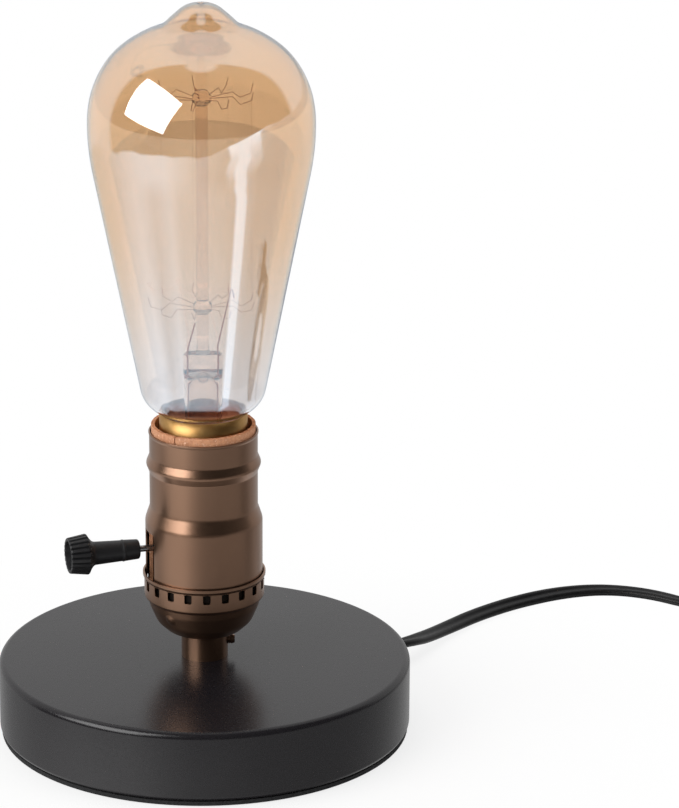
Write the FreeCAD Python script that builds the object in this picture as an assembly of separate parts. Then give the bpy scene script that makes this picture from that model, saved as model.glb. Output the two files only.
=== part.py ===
"""Bare bulb table lamp: round weighted base, turn-key socket, drop-shaped bulb and flat lead.

Millimetres, +Z up, origin at the middle of the base's underside, on the surface it stands on.
The viewer stands at -Y. The key points to -X, a little towards the viewer.
"""
import FreeCAD, Part
import math
import os

V = FreeCAD.Vector
UP = V(0, 0, 1)
CENTRE = V(0, 0, 0)

# ---------------------------------------------------------------- driving dimensions, mm
# base
base_radius = 60.2
base_height = 22.0              # table to the top face
base_wall = 1.2
base_edge_radius = 2.6
base_rim_width = 7.0            # lower edge, turned in
base_foot_radius = 1.56
pad_thickness = 1.2
pad_inset = 0.5
ballast_thickness = 6.0
ballast_gap = 0.3

# threaded pipe through the base, with its nut and washer
nipple_radius = 4.85
nipple_wall = 1.35
nipple_top_above_bushing = 3.0
thread_gap = 0.05
washer_radius = 9.0
washer_thickness = 1.0
nut_across_flats = 14.0
nut_thickness = 3.0

# cap of the socket, with the neck under it
neck_radius = 6.8
neck_height = 8.0
bushing_flange_radius = 8.6
bushing_flange_thickness = 0.8
cap_wall = 0.5
cap_bowl_height = 11.0          # neck to the band
cap_bowl_radius = 16.6
cap_bowl_flat_radius = 10.6     # the bowl's flat foot
cap_bowl_turn_radius = 14.4     # where its side turns up
cap_bowl_turn_rise = 3.4
cap_bowl_side_radius = 16.35
cap_bowl_side_rise = 8.0
cap_band_step = 0.7
sheet_step = 0.5                # half the height of a small step in the drawn sheet
cap_band_radius = 17.7
cap_band_height = 5.4
cap_rim_flare = 0.45
cap_rim_height = 1.9
window_count = 20
window_size = 2.2
window_above_band_foot = 3.1    # foot of a window over the foot of the band
window_turn = 272.2             # degrees, one window is just right of the front
dimple_radius = 1.7
dimple_sink = 0.35              # its middle inside the bowl
dimple_height = 7.0             # above the bowl's foot
dimple_turn = 230.0             # degrees
set_screw_height = 4.6          # above the foot of the neck
set_screw_radius = 1.9
set_screw_proud = 2.2
set_screw_slot = 0.6
set_screw_slot_depth = 0.8
cap_liner_wall = 0.6

# upper shell of the socket
shell_wall = 0.5
shell_foot_rise = 12.2          # height of its lower edge, inside the cap
shell_tuck_radius = 16.4        # the part that hides in the cap
shell_tuck_top_rise = 17.2
shell_lower_radius = 17.0
shell_step_bottom_rise = 34.6
shell_step_top_rise = 38.6
shell_upper_radius = 15.65
bead_below_top = 9.6            # middle of the bead, under the shell's top
bead_half_height = 2.5
bead_corner_proud = 1.0         # of the outline, whose corner the bead rounds off
shell_lip_height = 1.0
shell_lip_proud = 0.2
shell_top_rise = 61.2
key_slot_width = 9.0
key_slot_corner = 1.2
key_slot_below = 5.0            # how far its cutter reaches past the lower edge
key_slot_top_rise = 32.0
liner_gap = 0.1
liner_wall = 1.1
liner_above_shell = 2.2
liner_foot_above_shell_foot = 1.0
liner_seam = 0.3
liner_seam_turn = 234.0         # degrees

# switch, inside the shell
key_rise = 26.7
key_turn = 195.0                # degrees, where the key points
body_gap = 0.45
body_foot_rise = 13.2
body_top_rise = 38.0
rotor_radius = 6.0
rotor_length = 14.0
rotor_gap = 0.4
rotor_notch = 2.4
rivet_radius = 1.3
rivet_head_radius = 2.2
rivet_head_height = 0.8
rivet_offset = 10.2
terminal_turn = 52.0            # degrees each side of the point opposite the key
terminal_height = 4.8           # above the foot of the switch
terminal_radius = 1.4
terminal_head_radius = 2.8
terminal_head_height = 1.2
terminal_length = 5.0
terminal_groove = 6.4
terminal_groove_depth = 3.0
terminal_head_gap = 0.4
leaf_width = 5.0
leaf_thickness = 0.4
leaf_gap = 0.15                 # to the bulb's tip
leaf_foot_reach = 7.5
leaf_bend_reach = 3.0
leaf_tip_reach = 2.0
leaf_bend = 0.6

# key
key_shaft_radius = 0.95
shaft_gap = 0.08
stem_start = 19.6               # distances along the key from the lamp's axis
stem_ring = 24.5
head_start = 34.8
head_end = 40.5
stem_radius = 2.85
stem_end_radius = 3.45
stem_ring_proud = 0.15
stem_ring_half = 0.5
head_back_slope = 1.6           # stem to head
head_back_rim = 1.2
head_back_edge = 0.5
head_side_start = 0.2           # past head_start
head_hollow_draft = 0.4
head_inner_radius = 5.95
head_outer_radius = 5.15
head_rim = 0.9
head_hollow_depth = 3.6
flute_count = 22
flute_depth = 0.55
flute_radius = 0.62
shaft_in_stem = 9.0

# screw thread of bulb and socket
thread_pitch = 3.629
thread_major_radius = 13.1
thread_depth = 0.85
thread_play = 0.25              # radial, between bulb and socket
ridge_width = 1.6
ridge_crest_width = 0.7
ridge_sink = 0.15
socket_screw_wall = 0.4
socket_screw_below_top = 1.6    # under the shell's top
socket_thread_turns = 3.3
bulb_thread_turns = 4.2
bulb_thread_over_insulator = 2.2

# bulb
bulb_tip_rise = 186.3
bulb_bottom_rise = 40.2         # foot of the centre contact
bulb_contact_radius = 4.6
bulb_contact_height = 1.8
bulb_insulator_radius = 8.2
bulb_insulator_height = 4.2
insulator_gap = 0.2
bulb_shell_wall = 0.35
bulb_shell_curl = 0.4           # its foot, turned in round the insulator
bulb_shell_chamfer = 1.0
bulb_collar_height = 2.2
bulb_collar_slope = 0.8
bulb_insulator_edge = 0.6
bulb_shell_top_rise = 67.0
bulb_radius = 32.1
bulb_widest_rise = 151.5
bulb_belly_radius = 70.0
bulb_taper = 0.199              # growth of the radius per mm of height
bulb_shoulder_rise = 69.9
bulb_shoulder_radius = 9.0
glass_wall = 0.7
glass_neck_gap = 0.25
glass_neck_drop = 0.3           # its corner below the top of the screw shell
glass_neck_foot_rise = 58.0
dome_shares = (                 # radius and height over the widest place, as shares of bulb_radius
    (0.972, 0.252),
    (0.888, 0.464),
    (0.770, 0.626),
    (0.604, 0.757),
    (0.446, 0.838),
    (0.333, 0.891),
    (0.277, 0.944),
    (0.218, 0.997),
    (0.150, 1.050),
)

# mount inside the bulb
flare_tube_radius = 5.4
flare_wall = 0.9
flare_rim_gap = 0.15            # below the glass
flare_side_gap = 0.05
flare_rim_height = 0.9
flare_throat_height = 5.0
flare_throat_width = 1.5        # wider than the tube
press_edge_radius = 1.26
press_width = 11.0
press_thickness = 4.2
press_bottom_rise = 74.0
press_top_rise = 84.5
rod_radius = 1.9
hub_radius = 3.3
hub_height = 3.4
hub_edge_radius = 1.53
lower_hub_rise = 98.2
upper_hub_rise = 159.0
spoke_count = 9
spoke_turn = 20.0               # degrees, the first hook's place
strand_above_hub = 1.6
spoke_reach = 15.5
spoke_kink = 9.5
spoke_drop = 2.6
spoke_sink = 0.4                # in the hub
spoke_hump = 1.0
spoke_dip = 0.6
spoke_lean = 0.4
strand_gap = 0.05
hook_height = 3.0
mount_wire_radius = 0.22
filament_radius = 0.1
lead_wire_radius = 0.35
lead_wire_offset = 3.6
lead_wire_sunk = 1.0            # above the foot of the press
lead_wire_straight = 0.6
lead_bend_rise = 86.7
lead_left_reach = 2.0
lead_right_reach = 7.4
lead_left_top_rise = 93.0
lead_right_top_rise = 102.6

# cord
cord_diameter = 4.0             # round solid of a flat lead, 4.8 wide and 2.4 thick
gland_turn = 37.6               # degrees, where the lead leaves the base
gland_height = 6.2
gland_neck_radius = 3.6
gland_flange_radius = 4.6
gland_flange = 1.4
gland_flange_slope = 0.6
gland_inside = 8.0
gland_outside = 12.0
gland_tip_radius = 2.7
gland_gap = 0.15
inner_bend_radius = 8.0
core_radius = 0.8
core_spread = 1.4
core_straight = 3.0             # above the pipe
core_turn_drop = 2.0            # below the switch
core_bend_radius = 2.4
table_gap = 0.6                 # the lead's rest over the table, with the tie under it
coil_inner_radius = 19.5
coil_pitch = 4.55               # from turn to turn and from layer to layer
coil_turns = 8.2
coil_centre = V(199.5, 18.8, 0)
coil_start_turn = 62.5          # degrees
coil_end_straight = 8.0
tie_turn = 215.0                # degrees
tie_width = 4.0
tie_thickness = 0.45
tie_gap = 0.15
tie_inner_corner = 1.2

# plug
plug_relief_length = 20.0
plug_relief_tip_radius = 2.7
plug_relief_root_radius = 4.2
plug_length = 24.0
plug_width = 22.0
plug_corner = 4.0
blade_length = 17.5
blade_width = 6.35
blade_thickness = 1.5
blade_spacing = 12.7
blade_sunk = 8.0

# ---------------------------------------------------------------- heights over the table, mm
# Each "rise" above is measured from the foot of the socket's cap, so the socket, the key and
# the bulb stand on the base and its neck as they do in the lamp.
cap_foot = base_height + neck_height
shell_foot = cap_foot + shell_foot_rise
shell_tuck_top = cap_foot + shell_tuck_top_rise
shell_step_bottom = cap_foot + shell_step_bottom_rise
shell_step_top = cap_foot + shell_step_top_rise
shell_top = cap_foot + shell_top_rise
bead_centre = shell_top - bead_below_top
key_slot_top = cap_foot + key_slot_top_rise
key_height = cap_foot + key_rise
body_foot = cap_foot + body_foot_rise
body_top = cap_foot + body_top_rise
socket_screw_top = shell_top - socket_screw_below_top
bulb_tip_height = cap_foot + bulb_tip_rise
bulb_bottom = cap_foot + bulb_bottom_rise
bulb_shell_top = cap_foot + bulb_shell_top_rise
bulb_widest_height = cap_foot + bulb_widest_rise
bulb_shoulder_height = cap_foot + bulb_shoulder_rise
glass_neck_foot = cap_foot + glass_neck_foot_rise
press_bottom = cap_foot + press_bottom_rise
press_top = cap_foot + press_top_rise
lower_hub_height = cap_foot + lower_hub_rise
upper_hub_height = cap_foot + upper_hub_rise
lead_bend_height = cap_foot + lead_bend_rise
lead_left_top = cap_foot + lead_left_top_rise
lead_right_top = cap_foot + lead_right_top_rise

# ---------------------------------------------------------------- shared shapes


def flat(radius, height):
    """A point of an outline, by its distance from the axis and its height."""
    return V(radius, 0, height)


def polar(radius, degrees, height=0.0):
    angle = math.radians(degrees)
    return V(radius * math.cos(angle), radius * math.sin(angle), height)


def rounded(points, radii):
    """Edges along the points, with a tangent arc of the given radius at each inner point."""
    edges = []
    last = points[0]
    for i in range(1, len(points) - 1):
        before = (points[i] - points[i - 1]).normalize()
        after = (points[i + 1] - points[i]).normalize()
        half_turn = before.getAngle(after) / 2
        reach = radii[i - 1] * math.tan(half_turn)
        if reach < 1e-4:
            edges.append(Part.LineSegment(last, points[i]).toShape())
            last = points[i]
            continue
        start = points[i] - before * reach
        end = points[i] + after * reach
        inward = ((start + end) * 0.5 - points[i]).normalize()
        to_arc = radii[i - 1] * (1 / math.cos(half_turn) - 1)
        if (start - last).Length > 1e-4:
            edges.append(Part.LineSegment(last, start).toShape())
        edges.append(Part.Arc(start, points[i] + inward * to_arc, end).toShape())
        last = end
    if (points[-1] - last).Length > 1e-4:
        edges.append(Part.LineSegment(last, points[-1]).toShape())
    return edges


def beside(points, distance):
    """The same outline, moved sideways to its left by a wall's thickness."""
    moved = []
    for i, point in enumerate(points):
        sides = []
        for a, b in ((i - 1, i), (i, i + 1)):
            if a >= 0 and b < len(points):
                along = (points[b] - points[a]).normalize()
                sides.append(V(-along.z, 0, along.x))
        side = sum(sides[1:], sides[0])
        side.normalize()
        moved.append(point + side * (distance / side.dot(sides[0])))
    return moved


def turns_left(a, b, c):
    return (b - a).x * (c - b).z - (b - a).z * (c - b).x > 0


def sheet(points, radii, wall):
    """A sheet-metal or fibre skin of revolution: its outline and the wall on its left."""
    inner = beside(points, wall)
    inner_radii = []
    for i, radius in enumerate(radii):
        change = -wall if turns_left(points[i], points[i + 1], points[i + 2]) else wall
        inner_radii.append(max(radius + change, 0.0) if radius > 0 else 0.0)
    outline = rounded(points, radii)
    back = rounded(inner, inner_radii)
    ends = [
        Part.LineSegment(points[0], inner[0]).toShape(),
        Part.LineSegment(points[-1], inner[-1]).toShape(),
    ]
    wire = Part.Wire(Part.__sortEdges__(outline + back + ends))
    return Part.Face(wire).revolve(CENTRE, UP, 360)


def turned(points, radii=None):
    """A solid of revolution from a closed outline whose first and last points are joined."""
    edges = rounded(points, radii or [0.0] * (len(points) - 2))
    edges.append(Part.LineSegment(points[-1], points[0]).toShape())
    return Part.Face(Part.Wire(edges)).revolve(CENTRE, UP, 360)


def ring(inner_radius, outer_radius, bottom, top):
    solid = Part.makeCylinder(outer_radius, top - bottom, V(0, 0, bottom))
    if inner_radius > 0:
        solid = solid.cut(Part.makeCylinder(inner_radius, top - bottom, V(0, 0, bottom)))
    return solid


def block(low, high):
    size = high - low
    return Part.makeBox(size.x, size.y, size.z, low)


def about_axis(shape, degrees):
    copy = shape.copy()
    copy.rotate(CENTRE, UP, degrees)
    return copy


def along_key(shape):
    """Lays a shape that was made along +Z on the key's axis, which points away from the lamp."""
    copy = shape.copy()
    copy.rotate(CENTRE, V(0, 1, 0), 90)
    copy.rotate(CENTRE, UP, key_turn)
    copy.translate(V(0, 0, key_height))
    return copy


def wire_rod(points, radius):
    """A thin wire along straight runs, with a ball at each corner."""
    solid = None
    for a, b in zip(points, points[1:]):
        rod = Part.makeCylinder(radius, (b - a).Length, a, b - a)
        solid = rod if solid is None else solid.fuse(rod)
    for corner in points[1:-1]:
        solid = solid.fuse(Part.makeSphere(radius, corner))
    return solid.removeSplitter()


def tube(edges, radius):
    """A round tube along joined edges."""
    path = Part.Wire(edges)
    start = path.OrderedEdges[0]
    point = start.valueAt(start.FirstParameter)
    along = start.tangentAt(start.FirstParameter)
    section = Part.Wire(Part.makeCircle(radius, point, along))
    return path.makePipeShell([section], True, False)


def written(name, *shapes):
    """Writes one node, as one solid or as a group of separate solids."""
    solids = [solid for shape in shapes for solid in shape.Solids]
    shape = solids[0] if len(solids) == 1 else Part.makeCompound(solids)
    shape.exportStep(os.path.join("parts", name + ".step"))
    volume = sum(solid.Volume for solid in solids)
    print(f"{name}: {len(solids)} solid(s), {volume:.1f} mm3, valid {shape.isValid()}")


os.makedirs("parts", exist_ok=True)

# ---------------------------------------------------------------- base
# A pressed steel cup, its lower edge turned in under the foam pad.
shell_floor = pad_thickness
under_top = base_height - base_wall
hole_radius = nipple_radius + gland_gap
gland_hole = Part.makeCylinder(
    gland_neck_radius + gland_gap,
    base_wall * 6,
    polar(base_radius - base_wall * 4, gland_turn, gland_height),
    polar(1, gland_turn),
)
base_outline = [
    flat(base_radius - base_rim_width, shell_floor),
    flat(base_radius, shell_floor),
    flat(base_radius, base_height),
    flat(hole_radius, base_height),
]
base_shell = sheet(base_outline, [base_foot_radius, base_edge_radius], base_wall)
written("base_shell", base_shell.cut(gland_hole))
written("base_pad", ring(0, base_radius - pad_inset, 0, pad_thickness))

# A cast disc under the top, held up by the washer and nut on the threaded pipe.
ballast_radius = base_radius - base_wall - ballast_gap - base_edge_radius
ballast_foot = under_top - ballast_thickness
written("ballast_weight", ring(hole_radius, ballast_radius, ballast_foot, under_top))
washer_foot = ballast_foot - washer_thickness
written("lock_washer", ring(hole_radius, washer_radius, washer_foot, ballast_foot))
nut_foot = washer_foot - nut_thickness
nut_corner = nut_across_flats / math.sqrt(3)
nut = Part.Face(Part.makePolygon([polar(nut_corner, 60 * i, nut_foot) for i in range(7)]))
nut = nut.extrude(UP * nut_thickness)
nut_bore = Part.makeCylinder(nipple_radius + thread_gap, nut_thickness, V(0, 0, nut_foot))
written("nipple_locknut", nut.cut(nut_bore))
bushing_top = base_height + neck_height + bushing_flange_thickness + cap_wall
nipple_top = bushing_top + nipple_top_above_bushing
written("threaded_nipple", ring(nipple_radius - nipple_wall, nipple_radius, nut_foot, nipple_top))

# The gland grips the lead in the base's side wall, and tapers outside.
gland_outline = [
    flat(cord_diameter / 2, -base_wall - gland_inside),
    flat(gland_neck_radius, -base_wall - gland_inside),
    flat(gland_neck_radius, 0),
    flat(gland_flange_radius, 0),
    flat(gland_flange_radius, gland_flange),
    flat(gland_neck_radius, gland_flange + gland_flange_slope),
    flat(gland_tip_radius, gland_outside),
    flat(cord_diameter / 2, gland_outside),
]
cord_gland = turned(gland_outline)
cord_gland.rotate(CENTRE, V(0, 1, 0), 90)
cord_gland.rotate(CENTRE, UP, gland_turn)
cord_gland.translate(polar(base_radius, gland_turn, gland_height))
gland_flat = Part.makeCylinder(base_radius, base_height)
gland_inner = cord_gland.common(Part.makeCylinder(base_radius - base_wall, base_height))
gland_outer = cord_gland.cut(gland_flat)
gland_through = cord_gland.common(gland_hole)
written("cord_gland", gland_inner.fuse([gland_through, gland_outer]).removeSplitter())

# ---------------------------------------------------------------- cap of the socket
neck_top = base_height + neck_height
bushing_outline = [
    flat(nipple_radius + thread_gap, base_height),
    flat(neck_radius, base_height),
    flat(neck_radius, cap_foot + cap_wall),
    flat(bushing_flange_radius, cap_foot + cap_wall),
    flat(bushing_flange_radius, bushing_top),
    flat(nipple_radius + thread_gap, bushing_top),
]
cap_bushing = turned(bushing_outline)
screw_height = base_height + set_screw_height
screw_hole = Part.makeCylinder(set_screw_radius, neck_radius, V(nipple_radius, 0, screw_height), V(1, 0, 0))
written("cap_bushing", cap_bushing.cut(screw_hole))

screw_end = neck_radius + set_screw_proud
set_screw = Part.makeCylinder(
    set_screw_radius - thread_gap,
    screw_end - nipple_radius - thread_gap,
    V(nipple_radius + thread_gap, 0, screw_height),
    V(1, 0, 0),
)
slot = block(
    V(screw_end - set_screw_slot_depth, -set_screw_radius, screw_height - set_screw_slot / 2),
    V(screw_end + 1, set_screw_radius, screw_height + set_screw_slot / 2),
)
written("cap_set_screw", set_screw.cut(slot))

band_foot = cap_foot + cap_bowl_height
band_top = band_foot + cap_band_height
cap_top = band_top + cap_rim_height
cap_outline = [
    flat(neck_radius + gland_gap, cap_foot),
    flat(cap_bowl_flat_radius, cap_foot),
    flat(cap_bowl_turn_radius, cap_foot + cap_bowl_turn_rise),
    flat(cap_bowl_side_radius, cap_foot + cap_bowl_side_rise),
    flat(cap_bowl_radius, band_foot - cap_band_step),
    flat(cap_band_radius, band_foot),
    flat(cap_band_radius, band_top - sheet_step),
    flat(cap_band_radius + cap_rim_flare, band_top + sheet_step),
    flat(cap_band_radius + cap_rim_flare, cap_top),
]
cap_radii = [5.0, 5.0, 6.0, 0.6, 0.8, 0.8, 0.8]
cap_shell = sheet(cap_outline, cap_radii, cap_wall)
window_foot = band_foot + window_above_band_foot
window = block(
    V(cap_band_radius - 2 * cap_wall, -window_size / 2, window_foot),
    V(cap_band_radius + 2 * cap_wall, window_size / 2, window_foot + window_size),
)
windows = [about_axis(window, window_turn + i * 360 / window_count) for i in range(window_count)]
cap_shell = cap_shell.cut(Part.makeCompound(windows))
dimple_seat = cap_bowl_radius - cap_wall - dimple_sink
for turn in (dimple_turn, dimple_turn - 180):
    place = polar(dimple_seat, turn, cap_foot + dimple_height)
    cap_shell = cap_shell.fuse(Part.makeSphere(dimple_radius, place))
written("cap_shell", cap_shell)

liner_hole = nipple_radius + gland_gap
written("cap_liner", ring(liner_hole, bushing_flange_radius, bushing_top, bushing_top + cap_liner_wall))

# ---------------------------------------------------------------- upper shell and its liner
shell_outline = [
    flat(shell_tuck_radius, shell_foot),
    flat(shell_tuck_radius, shell_tuck_top - sheet_step),
    flat(shell_lower_radius, shell_tuck_top + sheet_step),
    flat(shell_lower_radius, shell_step_bottom),
    flat(shell_upper_radius, shell_step_top),
    flat(shell_upper_radius, bead_centre - bead_half_height),
    flat(shell_upper_radius + bead_corner_proud, bead_centre),
    flat(shell_upper_radius, bead_centre + bead_half_height),
    flat(shell_upper_radius, shell_top - shell_lip_height),
    flat(shell_upper_radius + shell_lip_proud, shell_top - shell_lip_height / 2),
    flat(shell_upper_radius + shell_lip_proud, shell_top),
]
shell_radii = [0.8, 0.8, 4.0, 3.0, 1.2, 1.6, 1.2, 0.6, 0.6]
socket_shell = sheet(shell_outline, shell_radii, shell_wall)


def key_slot(width, top):
    """The slot that lets the key drop in from the shell's lower edge."""
    profile = [
        V(0, -width / 2, shell_foot - key_slot_below),
        V(0, -width / 2, top),
        V(0, width / 2, top),
        V(0, width / 2, shell_foot - key_slot_below),
    ]
    edges = rounded(profile, [key_slot_corner, key_slot_corner])
    edges.append(Part.LineSegment(profile[-1], profile[0]).toShape())
    cutter = Part.Face(Part.Wire(edges)).extrude(V(shell_lower_radius * 2, 0, 0))
    return about_axis(cutter, key_turn)


written("socket_shell", socket_shell.cut(key_slot(key_slot_width, key_slot_top)))

liner_radius = shell_upper_radius - shell_wall - liner_gap
liner_foot = shell_foot + liner_foot_above_shell_foot
liner_top = shell_top + liner_above_shell
shell_liner = ring(liner_radius - liner_wall, liner_radius, liner_foot, liner_top)
seam = block(V(0, -liner_seam / 2, liner_foot), V(liner_radius, liner_seam / 2, liner_top))
shell_liner = shell_liner.cut(about_axis(seam, liner_seam_turn))
written("shell_liner", shell_liner.cut(key_slot(key_slot_width, key_slot_top)))

# ---------------------------------------------------------------- switch
# Two moulded halves hold the rotor between them and carry the screw shell and the terminals.
body_radius = liner_radius - liner_wall - body_gap
chamber_reach = rotor_length / 2 + rotor_gap
chamber = along_key(Part.makeCylinder(rotor_radius + rotor_gap, 2 * chamber_reach, V(0, 0, -chamber_reach)))
shaft_hole = along_key(Part.makeCylinder(key_shaft_radius + shaft_gap, body_radius * 1.2))
rivet_places = [polar(rivet_offset, key_turn + side) for side in (90, -90)]
rivet_holes = [
    Part.makeCylinder(rivet_radius, body_top - body_foot, place + UP * body_foot) for place in rivet_places
]
terminal_turns = [key_turn + 180 - terminal_turn, key_turn + 180 + terminal_turn]
terminal_z = body_foot + terminal_height
groove_floor = body_radius - terminal_groove_depth
groove = block(
    V(groove_floor, -terminal_groove / 2, body_foot - 1),
    V(body_radius + 1, terminal_groove / 2, terminal_z + terminal_head_radius + terminal_head_gap),
)
terminal_hole = Part.makeCylinder(
    terminal_radius, terminal_length, V(groove_floor - terminal_length, 0, terminal_z), V(1, 0, 0)
)
cavities = [chamber, shaft_hole] + rivet_holes
for turn in terminal_turns:
    cavities += [about_axis(groove, turn), about_axis(terminal_hole, turn)]
lower_half = ring(0, body_radius, body_foot, key_height)
upper_half = ring(0, body_radius, key_height, body_top)
written("switch_base", lower_half.cut(Part.makeCompound(cavities)))
written("switch_top", upper_half.cut(Part.makeCompound(cavities)))

screw = Part.makeCylinder(
    terminal_radius,
    terminal_length + terminal_groove_depth - terminal_head_height,
    V(groove_floor - terminal_length, 0, terminal_z),
    V(1, 0, 0),
)
head_at = groove_floor + terminal_groove_depth - terminal_head_height
head_foot = V(head_at, 0, terminal_z)
screw_head = Part.makeCylinder(terminal_head_radius, terminal_head_height, head_foot, V(1, 0, 0))
terminal = screw.fuse(screw_head).removeSplitter()
written("terminal_screws", *[about_axis(terminal, turn) for turn in terminal_turns])

screw_bore = thread_major_radius + thread_play
flange_top = body_top + socket_screw_wall
rivets = []
for place in rivet_places:
    shank = Part.makeCylinder(rivet_radius, flange_top - body_foot, place + UP * body_foot)
    head = Part.makeCylinder(rivet_head_radius, rivet_head_height, place + UP * flange_top)
    tail_foot = place + UP * (body_foot - rivet_head_height)
    tail = Part.makeCylinder(rivet_head_radius, rivet_head_height, tail_foot)
    rivets.append(shank.fuse([head, tail]).removeSplitter())
written("switch_rivets", *rivets)

# A leaf of brass under the bulb's tip, held at its foot.
leaf_height = bulb_bottom - leaf_gap - leaf_thickness
leaf_points = [
    flat(-leaf_foot_reach, body_top),
    flat(-leaf_bend_reach, body_top),
    flat(-leaf_bend_reach / 2, leaf_height),
    flat(leaf_tip_reach, leaf_height),
]
leaf_back = beside(leaf_points, leaf_thickness)
leaf_edges = rounded(leaf_points, [leaf_bend, leaf_bend]) + rounded(leaf_back, [leaf_bend, leaf_bend])
leaf_edges.append(Part.LineSegment(leaf_points[0], leaf_back[0]).toShape())
leaf_edges.append(Part.LineSegment(leaf_points[-1], leaf_back[-1]).toShape())
leaf = Part.Face(Part.Wire(Part.__sortEdges__(leaf_edges))).extrude(V(0, leaf_width, 0))
leaf.translate(V(0, -leaf_width / 2, 0))
written("centre_contact_spring", about_axis(leaf, key_turn + 180))

# ---------------------------------------------------------------- key
rotor = Part.makeCylinder(rotor_radius, rotor_length, V(0, 0, -rotor_length / 2))
for side in (1, -1):
    notch = Part.makeBox(rotor_notch, rotor_radius * 2, rotor_length / 2)
    notch_middle = side * (rotor_radius - rotor_notch / 2)
    notch.translate(V(notch_middle - rotor_notch / 2, -rotor_radius, -rotor_length / 4))
    rotor = rotor.cut(notch)
shaft_start = -rotor_length / 2
rotor = rotor.cut(Part.makeCylinder(key_shaft_radius, rotor_length, V(0, 0, shaft_start)))
written("switch_rotor", along_key(rotor))

shaft_end = stem_start + shaft_in_stem
shaft = Part.makeCylinder(key_shaft_radius, shaft_end - shaft_start, V(0, 0, shaft_start))
written("key_shaft", along_key(shaft))

knob_outline = [
    flat(key_shaft_radius, shaft_end),
    flat(key_shaft_radius, stem_start),
    flat(stem_radius, stem_start),
    flat(stem_radius + stem_ring_proud, stem_ring - stem_ring_half),
    flat(stem_radius + 2 * stem_ring_proud, stem_ring),
    flat(stem_radius + stem_ring_proud, stem_ring + stem_ring_half),
    flat(stem_end_radius, head_start - head_back_slope),
    flat(head_inner_radius - head_back_rim, head_start - head_back_edge),
    flat(head_inner_radius, head_start + head_side_start),
    flat(head_outer_radius, head_end),
    flat(head_outer_radius - head_rim, head_end),
    flat(head_outer_radius - head_rim - head_hollow_draft, head_end - head_hollow_depth),
    flat(0, head_end - head_hollow_depth),
    flat(0, shaft_end),
]
knob_radii = [0, 0.5, 0.2, 0.2, 0.2, 1.6, 0.6, 0.4, 0.4, 0.3, 0.5, 0]
knob = turned(knob_outline, knob_radii)
flute_out = flute_radius - flute_depth
flute_from = V(head_inner_radius + flute_out, 0, head_start - head_back_slope)
flute_to = V(head_outer_radius + flute_out, 0, head_end + flute_radius)
flute = Part.makeCylinder(flute_radius, (flute_to - flute_from).Length, flute_from, flute_to - flute_from)
flutes = [about_axis(flute, i * 360 / flute_count) for i in range(flute_count)]
written("key_knob", along_key(knob.cut(Part.makeCompound(flutes))))

# ---------------------------------------------------------------- screw thread


def thread_ridge(root_radius, crest_radius, foot, turns):
    """One rolled ridge of the thread, right-handed, starting at +X."""
    section = Part.makePolygon(
        [
            flat(root_radius, foot - ridge_width / 2),
            flat(crest_radius, foot - ridge_crest_width / 2),
            flat(crest_radius, foot + ridge_crest_width / 2),
            flat(root_radius, foot + ridge_width / 2),
            flat(root_radius, foot - ridge_width / 2),
        ]
    )
    helix = Part.makeHelix(thread_pitch, thread_pitch * turns, root_radius)
    helix.translate(V(0, 0, foot))
    return Part.Wire(helix.Edges).makePipeShell([section], True, True)


core_radius_of_bulb = thread_major_radius - thread_depth
bulb_shell_foot = bulb_bottom + bulb_contact_height + bulb_insulator_height
bulb_thread_foot = bulb_shell_foot + bulb_thread_over_insulator
socket_thread_foot = bulb_thread_foot - thread_pitch / 2

socket_tube_outline = [
    flat(rivet_offset - rivet_head_radius, flange_top),
    flat(rivet_offset - rivet_head_radius, body_top),
    flat(screw_bore + socket_screw_wall, body_top),
    flat(screw_bore + socket_screw_wall, socket_screw_top),
    flat(screw_bore, socket_screw_top),
    flat(screw_bore, flange_top),
]
socket_tube = turned(socket_tube_outline)
flange_holes = [Part.makeCylinder(rivet_radius, 2, place + UP * (body_top - 1)) for place in rivet_places]
socket_tube = socket_tube.cut(Part.makeCompound(flange_holes))
socket_ridge = thread_ridge(
    screw_bore + ridge_sink, screw_bore - thread_depth, socket_thread_foot, socket_thread_turns
)
written("socket_screw_shell", socket_tube.fuse(socket_ridge))

# ---------------------------------------------------------------- bulb
bulb_tube_outline = [
    flat(bulb_insulator_radius, bulb_shell_foot - bulb_shell_curl),
    flat(core_radius_of_bulb, bulb_shell_foot + bulb_shell_chamfer),
    flat(core_radius_of_bulb, bulb_shell_top - bulb_collar_height - bulb_collar_slope),
    flat(thread_major_radius, bulb_shell_top - bulb_collar_height),
    flat(thread_major_radius, bulb_shell_top),
]
bulb_tube = sheet(bulb_tube_outline, [0.8, 0.6, 0.6], bulb_shell_wall)
bulb_ridge = thread_ridge(
    core_radius_of_bulb - ridge_sink, thread_major_radius, bulb_thread_foot, bulb_thread_turns
)
written("bulb_screw_shell", bulb_tube.fuse(bulb_ridge))

insulator_foot = bulb_bottom + bulb_contact_height
insulator_outline = [
    flat(0, insulator_foot),
    flat(bulb_contact_radius, insulator_foot),
    flat(bulb_insulator_radius - insulator_gap, bulb_shell_foot - bulb_insulator_edge),
    flat(bulb_insulator_radius - insulator_gap, bulb_shell_foot + bulb_insulator_edge),
    flat(0, bulb_shell_foot + bulb_insulator_edge),
]
written("bulb_insulator", turned(insulator_outline, [0.5, 0.8, 0.4]))
contact_outline = [
    flat(0, bulb_bottom),
    flat(bulb_contact_radius, bulb_bottom),
    flat(bulb_contact_radius, insulator_foot),
    flat(0, insulator_foot),
]
written("bulb_tip_contact", turned(contact_outline, [1.2, 0]))

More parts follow.
